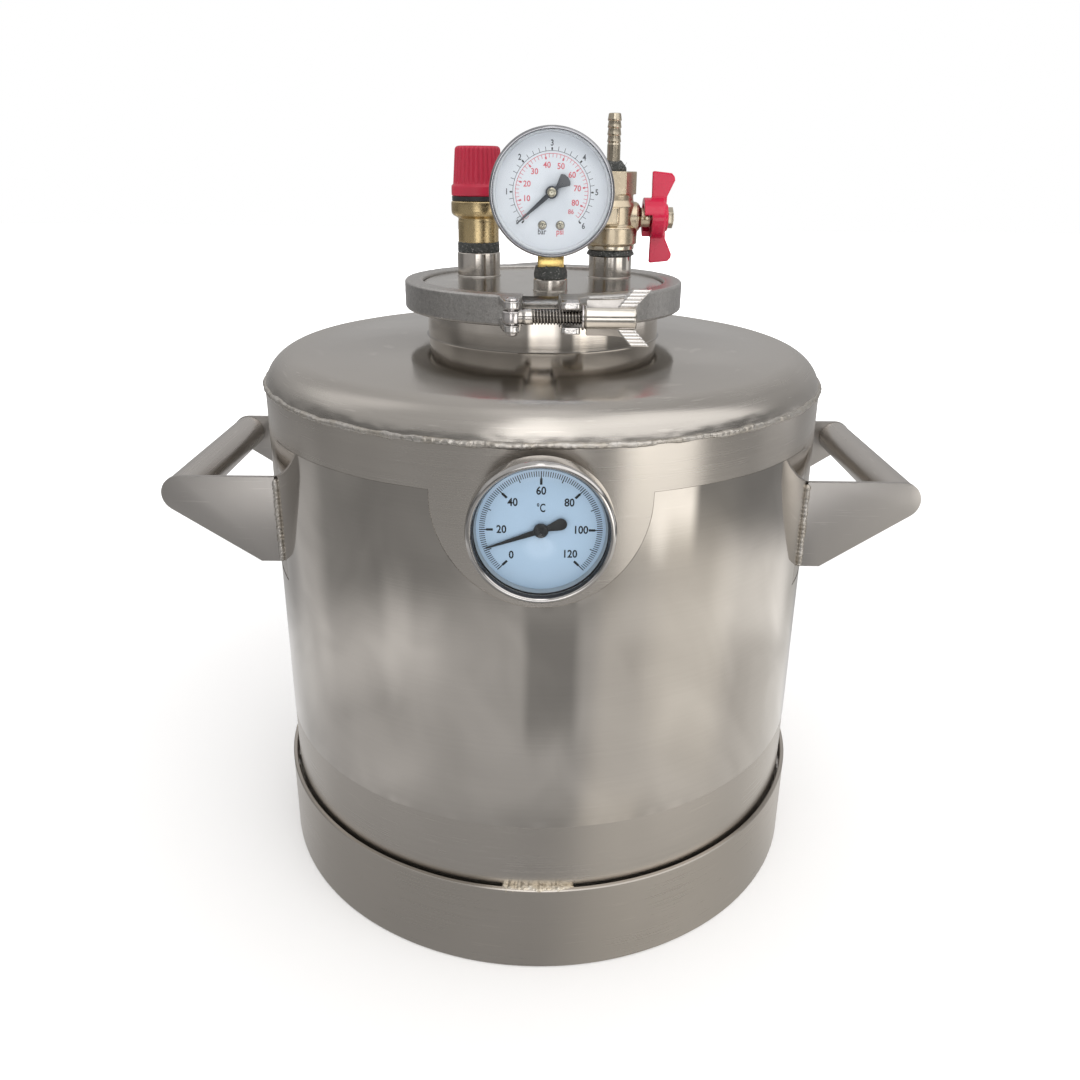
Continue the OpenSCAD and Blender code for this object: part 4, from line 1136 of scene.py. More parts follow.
# swing bolt: eye and shank with a helical thread, along +X from the pivot
SHANK_R, PITCH = 3.97, 1.6
SHANK_START, THREAD_START = 3.6, 9.7
THREAD_END = THREAD_START + 30.5 * PITCH
STEPS = 40


def bolt_radius(x, k):
    if x < SHANK_START + 2.6:
        return 3.6
    if x < THREAD_START:
        return SHANK_R
    if x > THREAD_END:
        return SHANK_R - 0.9 - (x - THREAD_END)
    phase = ((x - THREAD_START) / PITCH - k / STEPS) % 1.0
    depth = 0.95 * min(1, (x - THREAD_START) / PITCH)
    return SHANK_R - depth * min(1, max(0, (abs(phase - 0.5) * 2 - 0.10) / 0.75))


stations = [SHANK_START - 0.6, SHANK_START + 1.2, SHANK_START + 2.2]
stations += list(np.linspace(SHANK_START + 3.2, THREAD_START - 0.6, 6))
stations += list(np.arange(THREAD_START, THREAD_END, PITCH / 12))
stations += [THREAD_END, THREAD_END + 0.5, THREAD_END + 0.9]
verts = []
for x in stations:
    for k in range(STEPS):
        angle = 2 * pi * k / STEPS
        radius = bolt_radius(x, k)
        verts.append((radius * cos(angle), radius * sin(angle), x))
shank = mesh_object(verts, tube_faces(len(stations), STEPS),
                    facing_right(BOLT_X, BOLT_Y, CLAMP_Z), THREAD_STEEL, angle=40)


def eye_warp(x, y, z, turn):
    scale = 1 + 0.012 * cos(7 * turn)
    return x * (scale + 0.02 * lump(x, y, z, 2.5, 3)), y * scale, z


outline = [(2.08, -3.02), (4.4, -3.02), (4.8, -2.6), (4.9, 0), (4.8, 2.6), (4.4, 3.02),
           (2.08, 3.02)]
eye = lathe(outline, 56, Matrix.Translation((BOLT_X, BOLT_Y, CLAMP_Z)), POLISHED_STEEL,
            soft=0.25, warp=eye_warp)
joined_piece("clamp_swing_bolt", [eye, shank])

outline = [(4.04, 0), (6.0, 0), (6.35, 0.3), (6.35, 0.9), (6.05, 1.2), (4.04, 1.2)]
lathe_piece("clamp_nut_washer", outline, 72, facing_right(19.6, BOLT_Y, CLAMP_Z),
            POLISHED_STEEL, soft=0.15,
            warp=lambda x, y, z, turn: (x, y, z + 0.04 * sin(2 * turn)))

# wing nut: barrel, then for each wing a ribbed tip, a thin web and a foot
NUT_X = 20.9
TIP_LO, TIP_HI, RIBS, TIP_STEPS = 5.6, 14.3, 5, 18


def tip_x(z, across):
    k = (z - 5.6) / 8.7
    return lerp(lerp(NUT_X + 16.4, 44.6, k), lerp(NUT_X + 25.6, 54.2, k), across)


def wing_tip(side):
    verts = []
    for step in range(TIP_STEPS + 1):
        across = step / TIP_STEPS
        edge = 0.35 * (1 - min(1, min(across, 1 - across) * 8)) ** 2
        for i in range(RIBS * 8 + 1):   # ribbed front
            frac = i / (RIBS * 8)
            z = lerp(TIP_LO, TIP_HI, frac)
            rib = 0.42 * (1 - abs(sin(pi * RIBS * frac))) ** 1.5
            y = -(3.35 - 0.9 * frac * frac - rib)
            verts.append((tip_x(z, across), y + edge * 1.6, side * z))
        for i in range(6):              # plain back
            frac = 1 - i / 5
            z = lerp(TIP_LO, TIP_HI, frac)
            verts.append((tip_x(z, across), 3.0 - 0.9 * frac - edge, side * z))
    return mesh_object(verts, tube_faces(TIP_STEPS + 1, RIBS * 8 + 7),
                       Matrix.Translation((0, BOLT_Y, CLAMP_Z)), TIP_STEEL, angle=30)


outline = [(4.05, 0.15), (5.3, 0), (5.95, 0.6)]
outline += [(6.05, z) for z in np.linspace(1.2, 25, 12)]
outline += [(5.95, 25.5), (5.4, 26.2), (4.4, 26.2), (4.05, 25.8)]
parts = [lathe(outline, 96, facing_right(NUT_X, BOLT_Y, CLAMP_Z), NUT_STEEL, soft=0.2,
               warp=shifted(7, 2, 5, z_scale=0.5))]
WEB = [(1.2, 5.2), (0.9, 8.6), (1.8, 8.9), (12, 9.0), (17.5, 9.3), (20.5, 9.8), (22, 5.2)]
for side in (1, -1):
    parts.append(wing_tip(side))
    outline = [(NUT_X + x, side * z) for x, z in WEB][::side]
    web = extrude(fillet(outline, 0.5, 3), -1.25, 1.25, facing_front(0, BOLT_Y, CLAMP_Z),
                  WEB_STEEL, 0.45, seg=3)
    # thick at the barrel, thin at the outer edge
    for vert in web.data.vertices:
        frac = min(1.0, max(0.0, (abs(vert.co.z * 1000 - CLAMP_Z) - 4.8) / 4.6))
        vert.co.y = BOLT_Y * MM + (vert.co.y - BOLT_Y * MM) * lerp(2.5, 0.85, frac)
    parts.append(web)
    at = (Matrix.Translation((NUT_X + 13, BOLT_Y, CLAMP_Z + side * 5.6))
          @ Matrix.Rotation(pi / 2, 4, "Y"))
    parts.append(lathe([(0, -10), (2.4, -10), (2.4, 10), (0, 10)], 24, at, NUT_STEEL,
                       soft=0.8, seg=3))
joined_piece("clamp_wing_nut", parts)


# ---------------------------------------------------------------- thread sealant
def sealant(cx, cy, inner, outer, z0, z1, taper, seed, spill=0.35):
    """A ragged collar of paste, narrower by taper at the top, with hemp fibres."""
    def paste_radius(frac):
        return lerp(outer, outer - taper, frac ** 2.2)

    rows = 22
    outline = [(paste_radius(i / rows) - 0.5 * exp(-(i / rows / 0.06)) * 0.6,
                lerp(z0, z1, i / rows)) for i in range(rows + 1)]
    outline += [(inner, z1), (inner, z0)]

    def warp(x, y, z, turn):
        radius = hypot(x, y)
        frac = (z - z0) / (z1 - z0)
        if radius > inner + 0.2:
            offset = (spill * lump(x, y, z * 0.9, 2.6, seed)
                      + spill * 0.7 * lump(x, y, z * 3, 1.1, seed + 4))
            offset = min(offset, 0.38)
            x, y = x * (1 + offset / radius), y * (1 + offset / radius)
        z += frac * (0.75 * lump(x, y, 0, 5.5, seed + 2) + 0.3 * lump(x, y, 0, 1.6, seed + 6))
        if frac > 0.02:
            z += 0.15 * lump(x, y, 0, 2, seed + 8)
        return x, y, z

    parts = [lathe(outline, 200, upright(cx, cy), PASTE, warp=warp, angle=70)]
    rng = random.Random(int(seed * 10))
    for q in range(16):
        start = rng.uniform(0, 2 * pi)
        z = rng.uniform(lerp(z0, z1, 0.25), z1 + 0.3)
        length = rng.uniform(2, 7)
        span = rng.choice((-1, 1)) * length / outer
        lift = rng.uniform(0.1, 1.3) if q % 3 == 0 else rng.uniform(0.0, 0.25)
        points = []
        for i in range(9):
            frac = i / 8
            radius = (paste_radius(max(0, min(1, (z - z0) / (z1 - z0)))) + 0.18
                      + lift * frac * frac)
            angle = start + span * frac
            rise = ((0.5 + lift) * frac * frac * rng.uniform(0.6, 1.2)
                    * (1 if q % 2 else -0.4))
            points.append((cx + radius * cos(angle), cy + radius * sin(angle),
                           z + rise + 0.25 * sin(3 * frac + q)))
        parts.append(sweep(points, lambda i, angle: 0.075 + 0.02 * sin(i), 5, HEMP))
    return join("part", parts)


joined_piece("thread_sealant", [
    sealant(RELIEF_X, REAR_Y, 10.4, 12.95, 374.26, 380.3, taper=0.55, seed=1.1),
    sealant(VALVE_X, REAR_Y, 10.4, 14.5, 373.06, 376.3, taper=1.3, seed=2.3, spill=0.45),
    sealant(GAUGE_X, GAUGE_Y, 6.5, 9.15, 366.56, 373.2, taper=0.85, seed=3.7, spill=0.45),
    sealant(VALVE_X, REAR_Y, 4.1, 8.2, 422.25, 428.2, taper=3.6, seed=5.1, spill=0.5)])

# ---------------------------------------------------------------- relief valve
RELIEF_AT = upright(RELIEF_X, REAR_Y)
outline = [
    (5, 362), (9.8, 362), (10.35, 363), (10.35, 380.02), (12.4, 380.02), (12.6, 380.6),
    (12.55, 392.2), (12.3, 393.2), (12.35, 394.2), (13.4, 395.0), (15.2, 395.9),
    (16.2, 397.1), (16.5, 398.6), (16.5, 402.6), (16.4, 403.7), (15.7, 404.45), (11, 404.45),
    (11, 388), (8.4, 384.4), (6.4, 384.4), (6.4, 385), (5, 385)]
lathe_piece("relief_body", outline, 200, RELIEF_AT, BRASS, soft=0.22, seg=3,
            warp=uneven(0.0022, 7, 6))


def collar_warp(x, y, z, turn):
    scale = 1 + 0.001 * sin(60 * turn)
    return x * scale, y * scale, z


outline = [(10.3, 404.55), (15.7, 404.55), (16.0, 404.9), (15.9, 405.8), (16.0, 406.8),
           (15.7, 407.15), (10.3, 407.15)]
lathe_piece("relief_collar", outline, 160, RELIEF_AT, BLACK, soft=0.12, warp=collar_warp)


def cap_warp(x, y, z, turn):
    """Thirty flutes down the side of the cap."""
    if hypot(x, y) > 11.2 and z > 414.0:
        fade = smooth_step(z, 414.0, 415.6) * (1 - smooth_step(z, 434.0, 435.6))
        x, y = push_out(x, y, -0.62 * (0.5 + 0.5 * cos(30 * turn)) ** 2.2 * fade)
    return x, y, z


outline = [(10.95, 407.35), (15.7, 407.35), (16.15, 407.75), (16.2, 408.4), (16.2, 412.4),
           (16.05, 413.2), (15.4, 413.8), (15.05, 414.3)]
outline += [(lerp(15.05, 13.8, i / 14), lerp(414.6, 433.2, i / 14)) for i in range(15)]
outline += [(13.75, 433.9), (13.5, 434.7), (13.0, 435.3), (12.3, 435.75), (11.4, 435.9),
            (9.5, 435.75), (8.9, 435.5), (8.5, 435.0), (4, 434.9), (0.0, 434.9),
            (0.0, 429.2), (10.4, 429.2), (10.95, 428.6)]
lathe_piece("relief_cap", outline, 480, RELIEF_AT, RED_CAP, warp=cap_warp, angle=50)

# ---------------------------------------------------------------- pressure gauge
GAUGE_REST = 131.0                      # pointer turn, degrees anticlockwise from the top
outline = [
    (32, -11), (32.5, -11), (32.9, -10.6), (33.0, -10), (33.0, -7.6), (32.8, -7.3),
    (32.8, -6.9), (33.05, -6.6), (33.05, -2.4), (32.95, -1.7), (32.7, -1.2), (32.5, -1.05),
    (32.3, -0.45), (31.9, -0.15), (31.4, -0.2), (31.1, -0.6), (30.9, -1.2), (30.85, -2.02),
    (32, -2.02)]
lathe_piece("gauge_bezel", outline, 256, gauge_at(-62, dz=-0.2), DARK_BEZEL, soft=0.08,
            warp=uneven(0.0004, 12, 5))
outline = [(0, -3.6), (31.4, -3.6), (31.8, -3.3), (31.8, -2.4), (31.4, -2.1), (0, -2.1)]
lathe_piece("gauge_lens", outline, 160, gauge_at(-62), LENS, soft=0.1)
outline = [
    (0, 0), (9, 0), (9.5, 0.5), (17, 0.5), (17.5, 0), (27.4, 0), (28.6, 0.4), (31.0, 2.6),
    (31.5, 3.8), (31.5, 9), (31.35, 9.3), (31.35, 9.9), (31.5, 10.2), (31.5, 24.5),
    (30.6, 24.5), (30.6, 3.6), (27.6, 1), (0, 1)]
case = lathe(outline, 200, gauge_at(-33), DARK_CASE, soft=0.25, name="gauge_case_v")
# square opening for the stem
verts = [(GAUGE_X + dx, GAUGE_Y + dy, z) for z in (365, 391.5)
         for dx, dy in ((-7.5, -7.5), (7.5, -7.5), (7.5, 7.5), (-7.5, 7.5))]
cut_away(case, mesh_object(verts, BOX_FACES, smooth=False))
finish(case, "gauge_case")

# dial: outer black bar scale of 0 to 6 and inner red psi scale of 0 to 86
DIAL_AT = gauge_at(-54.8)
BAR_DEG, PSI_DEG = 45, 3.1026           # degrees of turn for each bar and psi
outline = [(2.9, -0.6), (30.0, -0.6), (30.25, -0.4), (30.25, -0.15), (30.0, 0), (2.9, 0)]
parts = [lathe(outline, 160, DIAL_AT, WHITE_DIAL, soft=0.08)]
outline = [(29.5, 0.02), (30.45, 0.02), (30.45, 2.85), (31.6, 2.85), (31.6, 3.5),
           (30.5, 3.5), (30.2, 3.2)]
parts.append(lathe(outline, 160, DIAL_AT, GAUGE_WALL, soft=0.08))
thin, thick = [], []
for i in range(31):
    angle = SCALE_START + 9 * i
    thin.append((angle, 20.5, 22.8 if i % 5 else 22.3, 0.30))
    if i % 5 == 0:
        thick.append((angle, 21.0, 22.2, 0.85))
parts.append(ticks(thin, DIAL_AT, GREY_INK))
parts.append(ticks(thick, DIAL_AT, BLACK_INK, thick=0.04))
parts.append(arc_band(20.45, 20.72, SCALE_START, 135, DIAL_AT, GREY_INK))
parts.append(arc_band(19.1, 19.38, SCALE_START, 131.8, DIAL_AT, RED_INK))
thin, thick = [], []
for i in range(44):
    angle = SCALE_START + PSI_DEG * 2 * i
    if i and i % 5 == 0:
        thin.append((angle, 16.6, 19.2, 0.3))
        thick.append((angle, 16.6, 17.9, 0.9))
    else:
        thin.append((angle, 17.3 if i else 17.0, 19.2, 0.26))
parts.append(ticks(thin, DIAL_AT, RED_INK))
parts.append(ticks(thick, DIAL_AT, RED_INK, thick=0.04))
for bar in range(1, 7):
    angle = dial_angle(BAR_DEG * bar)
    parts.append(label(str(bar), (24.3 if bar == 6 else 23.9) * cos(angle),
                       24.3 * sin(angle), 4.2, DIAL_AT, GREY_INK, 0.86, bold=0.09))
parts.append(label("0", -18.1, -15.4, 3.4, DIAL_AT, GREY_INK, 0.80, bold=0.04))
parts.append(label("0", -15.0, -13.3, 3.2, DIAL_AT, RED_INK, 0.85, bold=0.04))
for psi in range(10, 81, 10):
    angle = dial_angle(PSI_DEG * psi)
    parts.append(label(str(psi), 13.7 * cos(angle), 13.7 * sin(angle), 4.2, DIAL_AT,
                       RED_INK, 0.95, bold=0.08))
parts.append(label("86", 10.4, -9.9, 3.5, DIAL_AT, RED_INK, 0.92, bold=0.03))
parts.append(label("bar", -5.0, -20.2, 4.3, DIAL_AT, GREY_INK, 0.80, bold=0.07))
parts.append(label("psi", 4.7, -20.2, 4.3, DIAL_AT, RED_INK, 0.86, bold=0.08))
joined_piece("gauge_dial", parts)

# two cross-slot screws: head, shank, dark ring and slots
SCREW_HEAD = [(0, 0.03), (2.05, 0.03), (2.15, 0.35), (1.95, 0.7), (1.4, 0.98), (0.7, 1.08),
              (0, 1.1)]
SLOT = [(-0.85, -0.17), (0.85, -0.17), (0.85, 0.17), (-0.85, 0.17)]
parts = []
for side in (-1, 1):
    at = gauge_at(-54.8, dx=side * 4.8, dz=-16.8)
    parts.append(lathe(SCREW_HEAD, 48, at, PALE_BRASS, soft=0.05))
    parts.append(lathe([(0, -4.8), (1.0, -4.8), (1.0, 0.1), (0, 0.1)], 24, at,
                       TURNED_BRASS, soft=0.1, seg=1))
    parts.append(lathe([(1.5, 0.02), (2.42, 0.02), (2.42, 0.12), (1.5, 0.12)], 40, at,
                       GREY_INK, soft=0.03, seg=1))
    for q in (0, 1):
        turned = at @ Matrix.Rotation(q * pi / 2 + 0.4 * side, 4, "Z")
        parts.append(extrude(SLOT, 0.92, 1.13, turned, BLACK_INK, 0.03, seg=1))
joined_piece("gauge_dial_screws", parts)

at = gauge_at(-56.4) @ Matrix.Rotation(radians(GAUGE_REST), 4, "Z")
blade = [
    (-1.3, 2.6), (-0.32, 24.4), (0, 24.9), (0.32, 24.4), (1.3, 2.6), (1.15, 0), (1.0, -4.0),
    (1.7, -5.6), (3.7, -9.3), (3.5, -9.9), (2.4, -10.9), (0, -11.4), (-2.4, -10.9),
    (-3.5, -9.9), (-3.7, -9.3), (-1.7, -5.6), (-1.0, -4.0), (-1.15, 0)]
hub = [(1.28, -0.88), (2.9, -0.88), (3.25, -0.6), (3.3, 0.55), (3.05, 0.85), (2.6, 0.95),
       (1.28, 0.95)]
joined_piece("gauge_pointer", [extrude(blade[::-1], 0.0, 0.5, at, GREY_NEEDLE, 0.09),
                               lathe(hub, 64, at, GREY_NEEDLE, soft=0.12)])

# arbor with its domed cap and pinion
at = gauge_at(-43.5)
TEETH, SECTOR_TEETH, GEAR_DISTANCE = 12, 108, 20
module = 2 * GEAR_DISTANCE / (TEETH + SECTOR_TEETH)
pitch_r = TEETH * module / 2
tip_r, root_r = pitch_r + 0.8 * module, pitch_r - 1.15 * module
outline = [(0, 13.6), (1.2, 13.6), (1.2, 14.02), (2.35, 14.02), (2.42, 14.15), (2.3, 14.35),
           (1.8, 14.6), (1.0, 14.72), (0.25, 14.74), (0.2, 14.66), (0, 14.64)]
dome = lathe(outline, 48, at, PALE_BRASS, soft=0.05)
outline = [(0, -0.6), (0.88, -0.6), (0.88, 6.4), (1.18, 6.4), (1.18, 13.8), (0, 13.8)]
arbor = lathe(outline, 32, at, TURNED_BRASS, soft=0.05, seg=1)
outline = []
for i in range(TEETH):
    # radius and place within one tooth pitch
    for radius, place in ((root_r, -0.36), (pitch_r, -0.19), (tip_r, -0.065),
                          (tip_r, 0.065), (pitch_r, 0.19), (root_r, 0.36)):
        angle = (i + place) * 2 * pi / TEETH + radians(90 + 180 / TEETH)
        outline.append((radius * cos(angle), radius * sin(angle)))
pinion = extrude(outline, 3, 5, at, TURNED_BRASS, 0.04, seg=1)
joined_piece("gauge_pinion_arbor", [dome, arbor, pinion])

at = upright(GAUGE_X, GAUGE_Y)
upper = extrude(fillet([(-7.2, -5.85), (7.2, -5.85), (7.2, 7.2), (-7.2, 7.2)], 0.5, 3),
                378.2, 385.6, at, BRIGHT_BRASS, 0.15, seg=1)
lower = extrude(fillet([(-7.2, -7.2), (7.2, -7.2), (7.2, 7.2), (-7.2, 7.2)], 0.7, 3),
                373.05, 378.25, at, BRIGHT_BRASS, 0.3)
outline = [(2, 362), (6.1, 362)]
outline += [(6.45 if i % 2 else 5.9, 362.5 + i * 0.55) for i in range(20)]
outline += [(6.4, 373.1), (2, 373.1)]
thread = lathe(outline, 64, at, TURNED_BRASS, soft=0.08, seg=1)
joined_piece("gauge_stem", [upper, lower, thread])

# ---------------------------------------------------------------- ball valve
VALVE_AT = upright(VALVE_X, REAR_Y)
parts = [cad_skin("valve_body", NICKEL, voxel=0.32, smooth=5, bumps=[(0.022, 5.0, 4.0)])]
# raised frame on the front panel, with the thread size
LEFT, RIGHT, LOW, HIGH, BAR = -6.6, 3.0, 392.3, 401.5, 0.9
at = facing_front(0, REAR_Y - 15.4, 0)
for x0, x1, z0, z1 in ((LEFT, RIGHT, LOW, LOW + BAR), (LEFT, RIGHT, HIGH - BAR, HIGH),
                       (LEFT, LEFT + BAR, LOW, HIGH), (RIGHT - BAR, RIGHT, LOW, HIGH)):
    outline = [(VALVE_X + x0, z0), (VALVE_X + x1, z0), (VALVE_X + x1, z1), (VALVE_X + x0, z1)]
    parts.append(extrude(outline, -0.2, 0.62, at, NICKEL, 0.3))
parts.append(label("1/2", VALVE_X - 1.8, 396.9, 5.2, at, NICKEL, 0.75, bold=0.12, z=-0.1))
joined_piece("valve_body", parts)

outline = [(5, 361), (9.8, 361), (10.35, 362), (10.35, 376.45), (14.1, 376.45),
           (14.5, 376.9), (14.5, 379.0), (14.2, 379.35), (9.55, 379.35), (9.55, 386.4),
           (5, 386.4)]
lathe_piece("valve_nipple", outline, 160, VALVE_AT, NIPPLE_NICKEL, soft=0.15,
            warp=uneven(0.003, 3, 6))
finish(cad_skin("valve_handle", RED_PAINT, voxel=0.3, smooth=7, bumps=[(0.04, 4.5, 6.0)]),
       "valve_handle")

at = facing_right(VALVE_X + 34.4, REAR_Y, BALL_Z)
hexagon = [(6.3 * cos(radians(60 * i)), 6.3 * sin(radians(60 * i))) for i in range(6)]
nut = extrude(fillet(hexagon, 0.35, 2), 0.05, 3.2, at, TURNED_NICKEL, 0.35)
outline = [(0, 2.6), (2.9, 2.6), (2.9, 3.35), (2.6, 3.75), (0, 3.85)]
joined_piece("valve_handle_nut", [nut, lathe(outline, 40, at, TURNED_NICKEL, soft=0.2)])

outline = [(2.4, 411), (6.1, 411), (6.5, 411.6), (6.5, 422.3), (4.05, 422.3), (4.0, 437.2),
           (3.75, 438.1), (3.7, 438.6)]
for i in range(4):                      # barbs
    z = 438.7 + i * 4.05
    outline += [(4.1, z), (4.2, z + 0.5), (4.05, z + 1.1), (3.68, z + 3.6)]
outline += [(3.5, 454.7), (3.2, 454.9), (2.4, 454.9)]
lathe_piece("hose_barb", outline, 96, VALVE_AT, TURNED_NICKEL, soft=0.14,
            warp=uneven(0.004, 3, 16))

# ---------------------------------------------------------------- thermometer
at = thermo_at(0)
outline = [(10.5, 158), (THERMO_BORE, 158), (13.3, 163), (13.3, 171.2), (12.8, 171.95),
           (10.5, 171.95)]
socket = lathe(outline, 128, at, SOCKET_STEEL, soft=0.12)
bead = lathe([(13.1, 165.6), (14.9, 165.9), (14.3, 167.2), (13.2, 168.2)], 200, at, WELD,
             soft=0.2, warp=uneven(0.02, 2.4, 5, z_scale=0))
joined_piece("thermo_socket", [socket, bead])
outline = [
    (4.05, 160), (9.9, 160), (10.35, 161), (10.35, 172.45), (13.3, 172.45), (13.6, 172.8),
    (13.6, 175.0), (30.2, 175.0), (31.4, 175.5), (32, 176.7), (32, 181), (31.8, 181.3),
    (32, 181.6), (32, 185.5), (31, 185.5), (31, 176.8), (30, 176), (4.05, 176)]
lathe_piece("thermo_case", outline, 180, at, INNER_STEEL, soft=0.2)

outline = [
    (32.1, -11.6), (33.4, -11.6), (34.1, -11.1), (34.2, -10.5), (34.2, -3.2), (34.1, -2.2),
    (33.7, -1.1), (33.0, -0.3), (32.3, -0.05), (31.7, -0.2), (31.25, -0.7), (30.9, -1.6),
    (30.6, -2.1), (30.45, -2.8), (32.1, -2.8)]
bezel = lathe(outline, 256, thermo_at(-190), CHROME, soft=0.15, seg=3,
              warp=uneven(0.0004, 14, 9), name="thermo_bezel_v")
# painted reflection: the inner slope of the rim takes the black material, for the dark ring
# reflected in the chrome there
bezel.data.materials.append(BLACK)
for face in bezel.data.polygons:
    if hypot(face.center[0], face.center[2] - THERMO_Z * MM) < 31.15 * MM:
        face.material_index = 1
finish(bezel, "thermo_bezel")
outline = [(0, -4.4), (31.6, -4.4), (31.95, -4.1), (31.95, -3.2), (31.6, -2.9), (0, -2.9)]
lathe_piece("thermo_lens", outline, 160, thermo_at(-190), LENS, soft=0.1)

at = thermo_at(-182.6)
DEGREE_STEP = 2.25                      # degrees of turn for each degree Celsius
parts = [
    lathe([(1.6, -0.6), (30.3, -0.6), (30.6, -0.3), (30.3, 0), (1.6, 0)], 160, at,
          BLUE_DIAL, soft=0.08),
    lathe([(29.3, 0.03), (30.8, 0.03), (30.8, 2.6), (30.35, 2.6)], 180, at, DIAL_WALL,
          soft=0.1),
    lathe([(30.2, 2.58), (30.8, 2.5), (30.85, 2.98), (30.25, 2.98)], 180, at, BLACK,
          soft=0.05, seg=1)]
thin, middle, wedges = [], [], []
for i in range(121):
    angle = SCALE_START + DEGREE_STEP * i
    if i % 20 == 0:
        thin.append((angle, 24.0, 27.9, 0.50))
        wedges.append((angle, 21.6, 24.6, 1.1))
    elif i % 10 == 0:
        middle.append((angle, 24.2, 27.9, 0.46))
    else:
        thin.append((angle, 25.4, 27.9, 0.38))
parts.append(ticks(thin, at, BLACK_INK))
parts.append(ticks(middle, at, BLACK_INK))
parts.append(ticks(wedges, at, BLACK_INK, thick=0.04))
# temperature, radius, shift in x and y
for value, radius, dx, dy in (
        (0, 19.2, 0.2, 1.1), (20, 18.4, 0.6, 0.0), (40, 18.5, 0.4, 0.0), (60, 18.6, 0, 0),
        (80, 18.5, -0.4, 0.0), (100, 18.0, 0.0, 0), (120, 18.4, 0.3, 1.2)):
    angle = dial_angle(DEGREE_STEP * value)
    parts.append(label(str(value), radius * cos(angle) + dx, radius * sin(angle) + dy, 5.3,
                       at, BLACK_INK, 0.86, bold=0.13))
parts.append(label("°C", 0.0, 10.4, 5.6, at, BLACK_INK, 0.66, bold=0.10))
joined_piece("thermo_dial", parts)

THERMO_REST = 109.4                     # pointer turn, degrees anticlockwise from the top
at = thermo_at(-183.4) @ Matrix.Rotation(radians(THERMO_REST), 4, "Z")
blade = [(-1.35, 2.2), (-0.34, 26.3), (0, 26.6), (0.34, 26.3), (1.35, 2.2), (1.35, -3.3),
         (2.35, -7.2)]
blade += [(2.75 * cos(angle), -9.6 + 2.75 * sin(angle))
          for angle in np.linspace(radians(8), radians(-188), 20)]
blade += [(-2.35, -7.2), (-1.35, -3.3)]
hub = [(0.85, -0.38), (3.1, -0.38), (3.38, -0.1), (3.38, 0.8), (3.1, 1.15), (2.4, 1.27),
       (0.85, 1.27)]
joined_piece("thermo_pointer", [extrude(blade[::-1], 0.0, 0.5, at, BLACK_NEEDLE, 0.08),
                                lathe(hub, 64, at, BLACK_NEEDLE, soft=0.12)])

# ---------------------------------------------------------------- pieces that keep their CAD shape
for node, material in {
        "relief_bonnet": TURNED_BRASS, "relief_spring": SPRING, "relief_stem": TURNED_BRASS,
        "relief_seat_seal": RUBBER, "gauge_bourdon_tube": BRIGHT_BRASS,
        "gauge_movement_frame": TURNED_BRASS, "gauge_sector_gear": TURNED_BRASS,
        "valve_ball": CHROME, "valve_seals": PTFE, "valve_stem": TURNED_NICKEL,
        "thermo_arbor": BLACK_NEEDLE, "thermo_probe": INNER_STEEL,
        "thermo_bimetal_coil": SPRING}.items():
    slots = CAD_NODES[node].data.materials
    slots.clear()
    slots.append(material)

# ---------------------------------------------------------------- floor
scene = bpy.context.scene
FLOOR_HALF = 6.0                        # metres
g = Principled("floor_paper")
far = g.ramp(g.axis_radius(), 0.45, 1.3, 0.0, 1.0, "SMOOTHSTEP")
g.surface(Base_Color=(0.92, 0.92, 0.92), Roughness=0.9, Specular_IOR_Level=0.0,
          Emission_Color=(1.0, 1.0, 1.0), Emission_Strength=g.ramp(far, 0, 1, 0.06, 0.75))
mesh = bpy.data.meshes.new("floor")
mesh.from_pydata([(x * FLOOR_HALF, y * FLOOR_HALF, 0)
                  for x, y in ((-1, -1), (1, -1), (1, 1), (-1, 1))], [], [(0, 1, 2, 3)])
mesh.materials.append(g.material)
floor = add_object("floor", mesh)
floor.location.z = -0.0002
floor.visible_glossy = False

# ---------------------------------------------------------------- room light
# The camera sees white, diffuse rays an even light, and reflections a room of soft patches.
DIFFUSE = 1.10                          # strength of the even light
COOL_TINT, WARM_TINT = (1.0, 0.985, 0.975), (1.0, 0.93, 0.80)
# Patches: azimuth from, to (0 is the front, + is the right), elevation from, to,
# softness in azimuth and elevation (all degrees), strength
COOL = [
    (-175, 175, -39.5, -26.5, 10, 2.6, 0.23), (34, 135, -28, -22.5, 8, 2, 0.16),
    (80, 130, -27, -21.5, 8, 1.6, 0.28), (-13, 16, -14, 3, 2.5, 3, 1.6),
    (30, 64, -21.8, 3, 3, 1.8, 0.75), (30, 64, -14, 3, 3, 3, 0.5),
    (95, 119, -14, 1, 4, 3, 0.5), (46, 52, -23.5, -21, 3, 1.2, 0.35),
    (-128, -103, -30, -17, 6, 4, 0.17), (-108, -42, -31, -26.5, 8, 2, 0.17),
    (-67, -55, -29, -24.5, 4, 1.6, 0.14), (-30, -8, -26, -15, 5, 4, 0.04),
    (-92, -18, -15, 3, 8, 4, 0.12), (-19, 14, 20, 80, 4, 5, 1.5),
    (16, 100, 20, 74, 5, 5, 0.95), (-130, -35, 18, 75, 15, 8, 0.14),
    (-125, -95, 25, 60, 8, 8, 0.30), (-260, 260, 76, 130, 8, 6, 0.40)]
WARM = [
    (36, 43, -16, 3, 2.5, 4, 0.5), (-11, -5, -12, 3, 2, 4, 0.3),
    (22, 150, -40, -22, 8, 2.5, 0.17), (48, 84, -36, -20, 10, 4, 0.16),
    (30, 64, -22.5, 2, 3, 2.2, 0.40), (18, 45, -43, -38, 6, 2, 0.12),
    (12, 125, -64, -40, 14, 4, 0.17)]
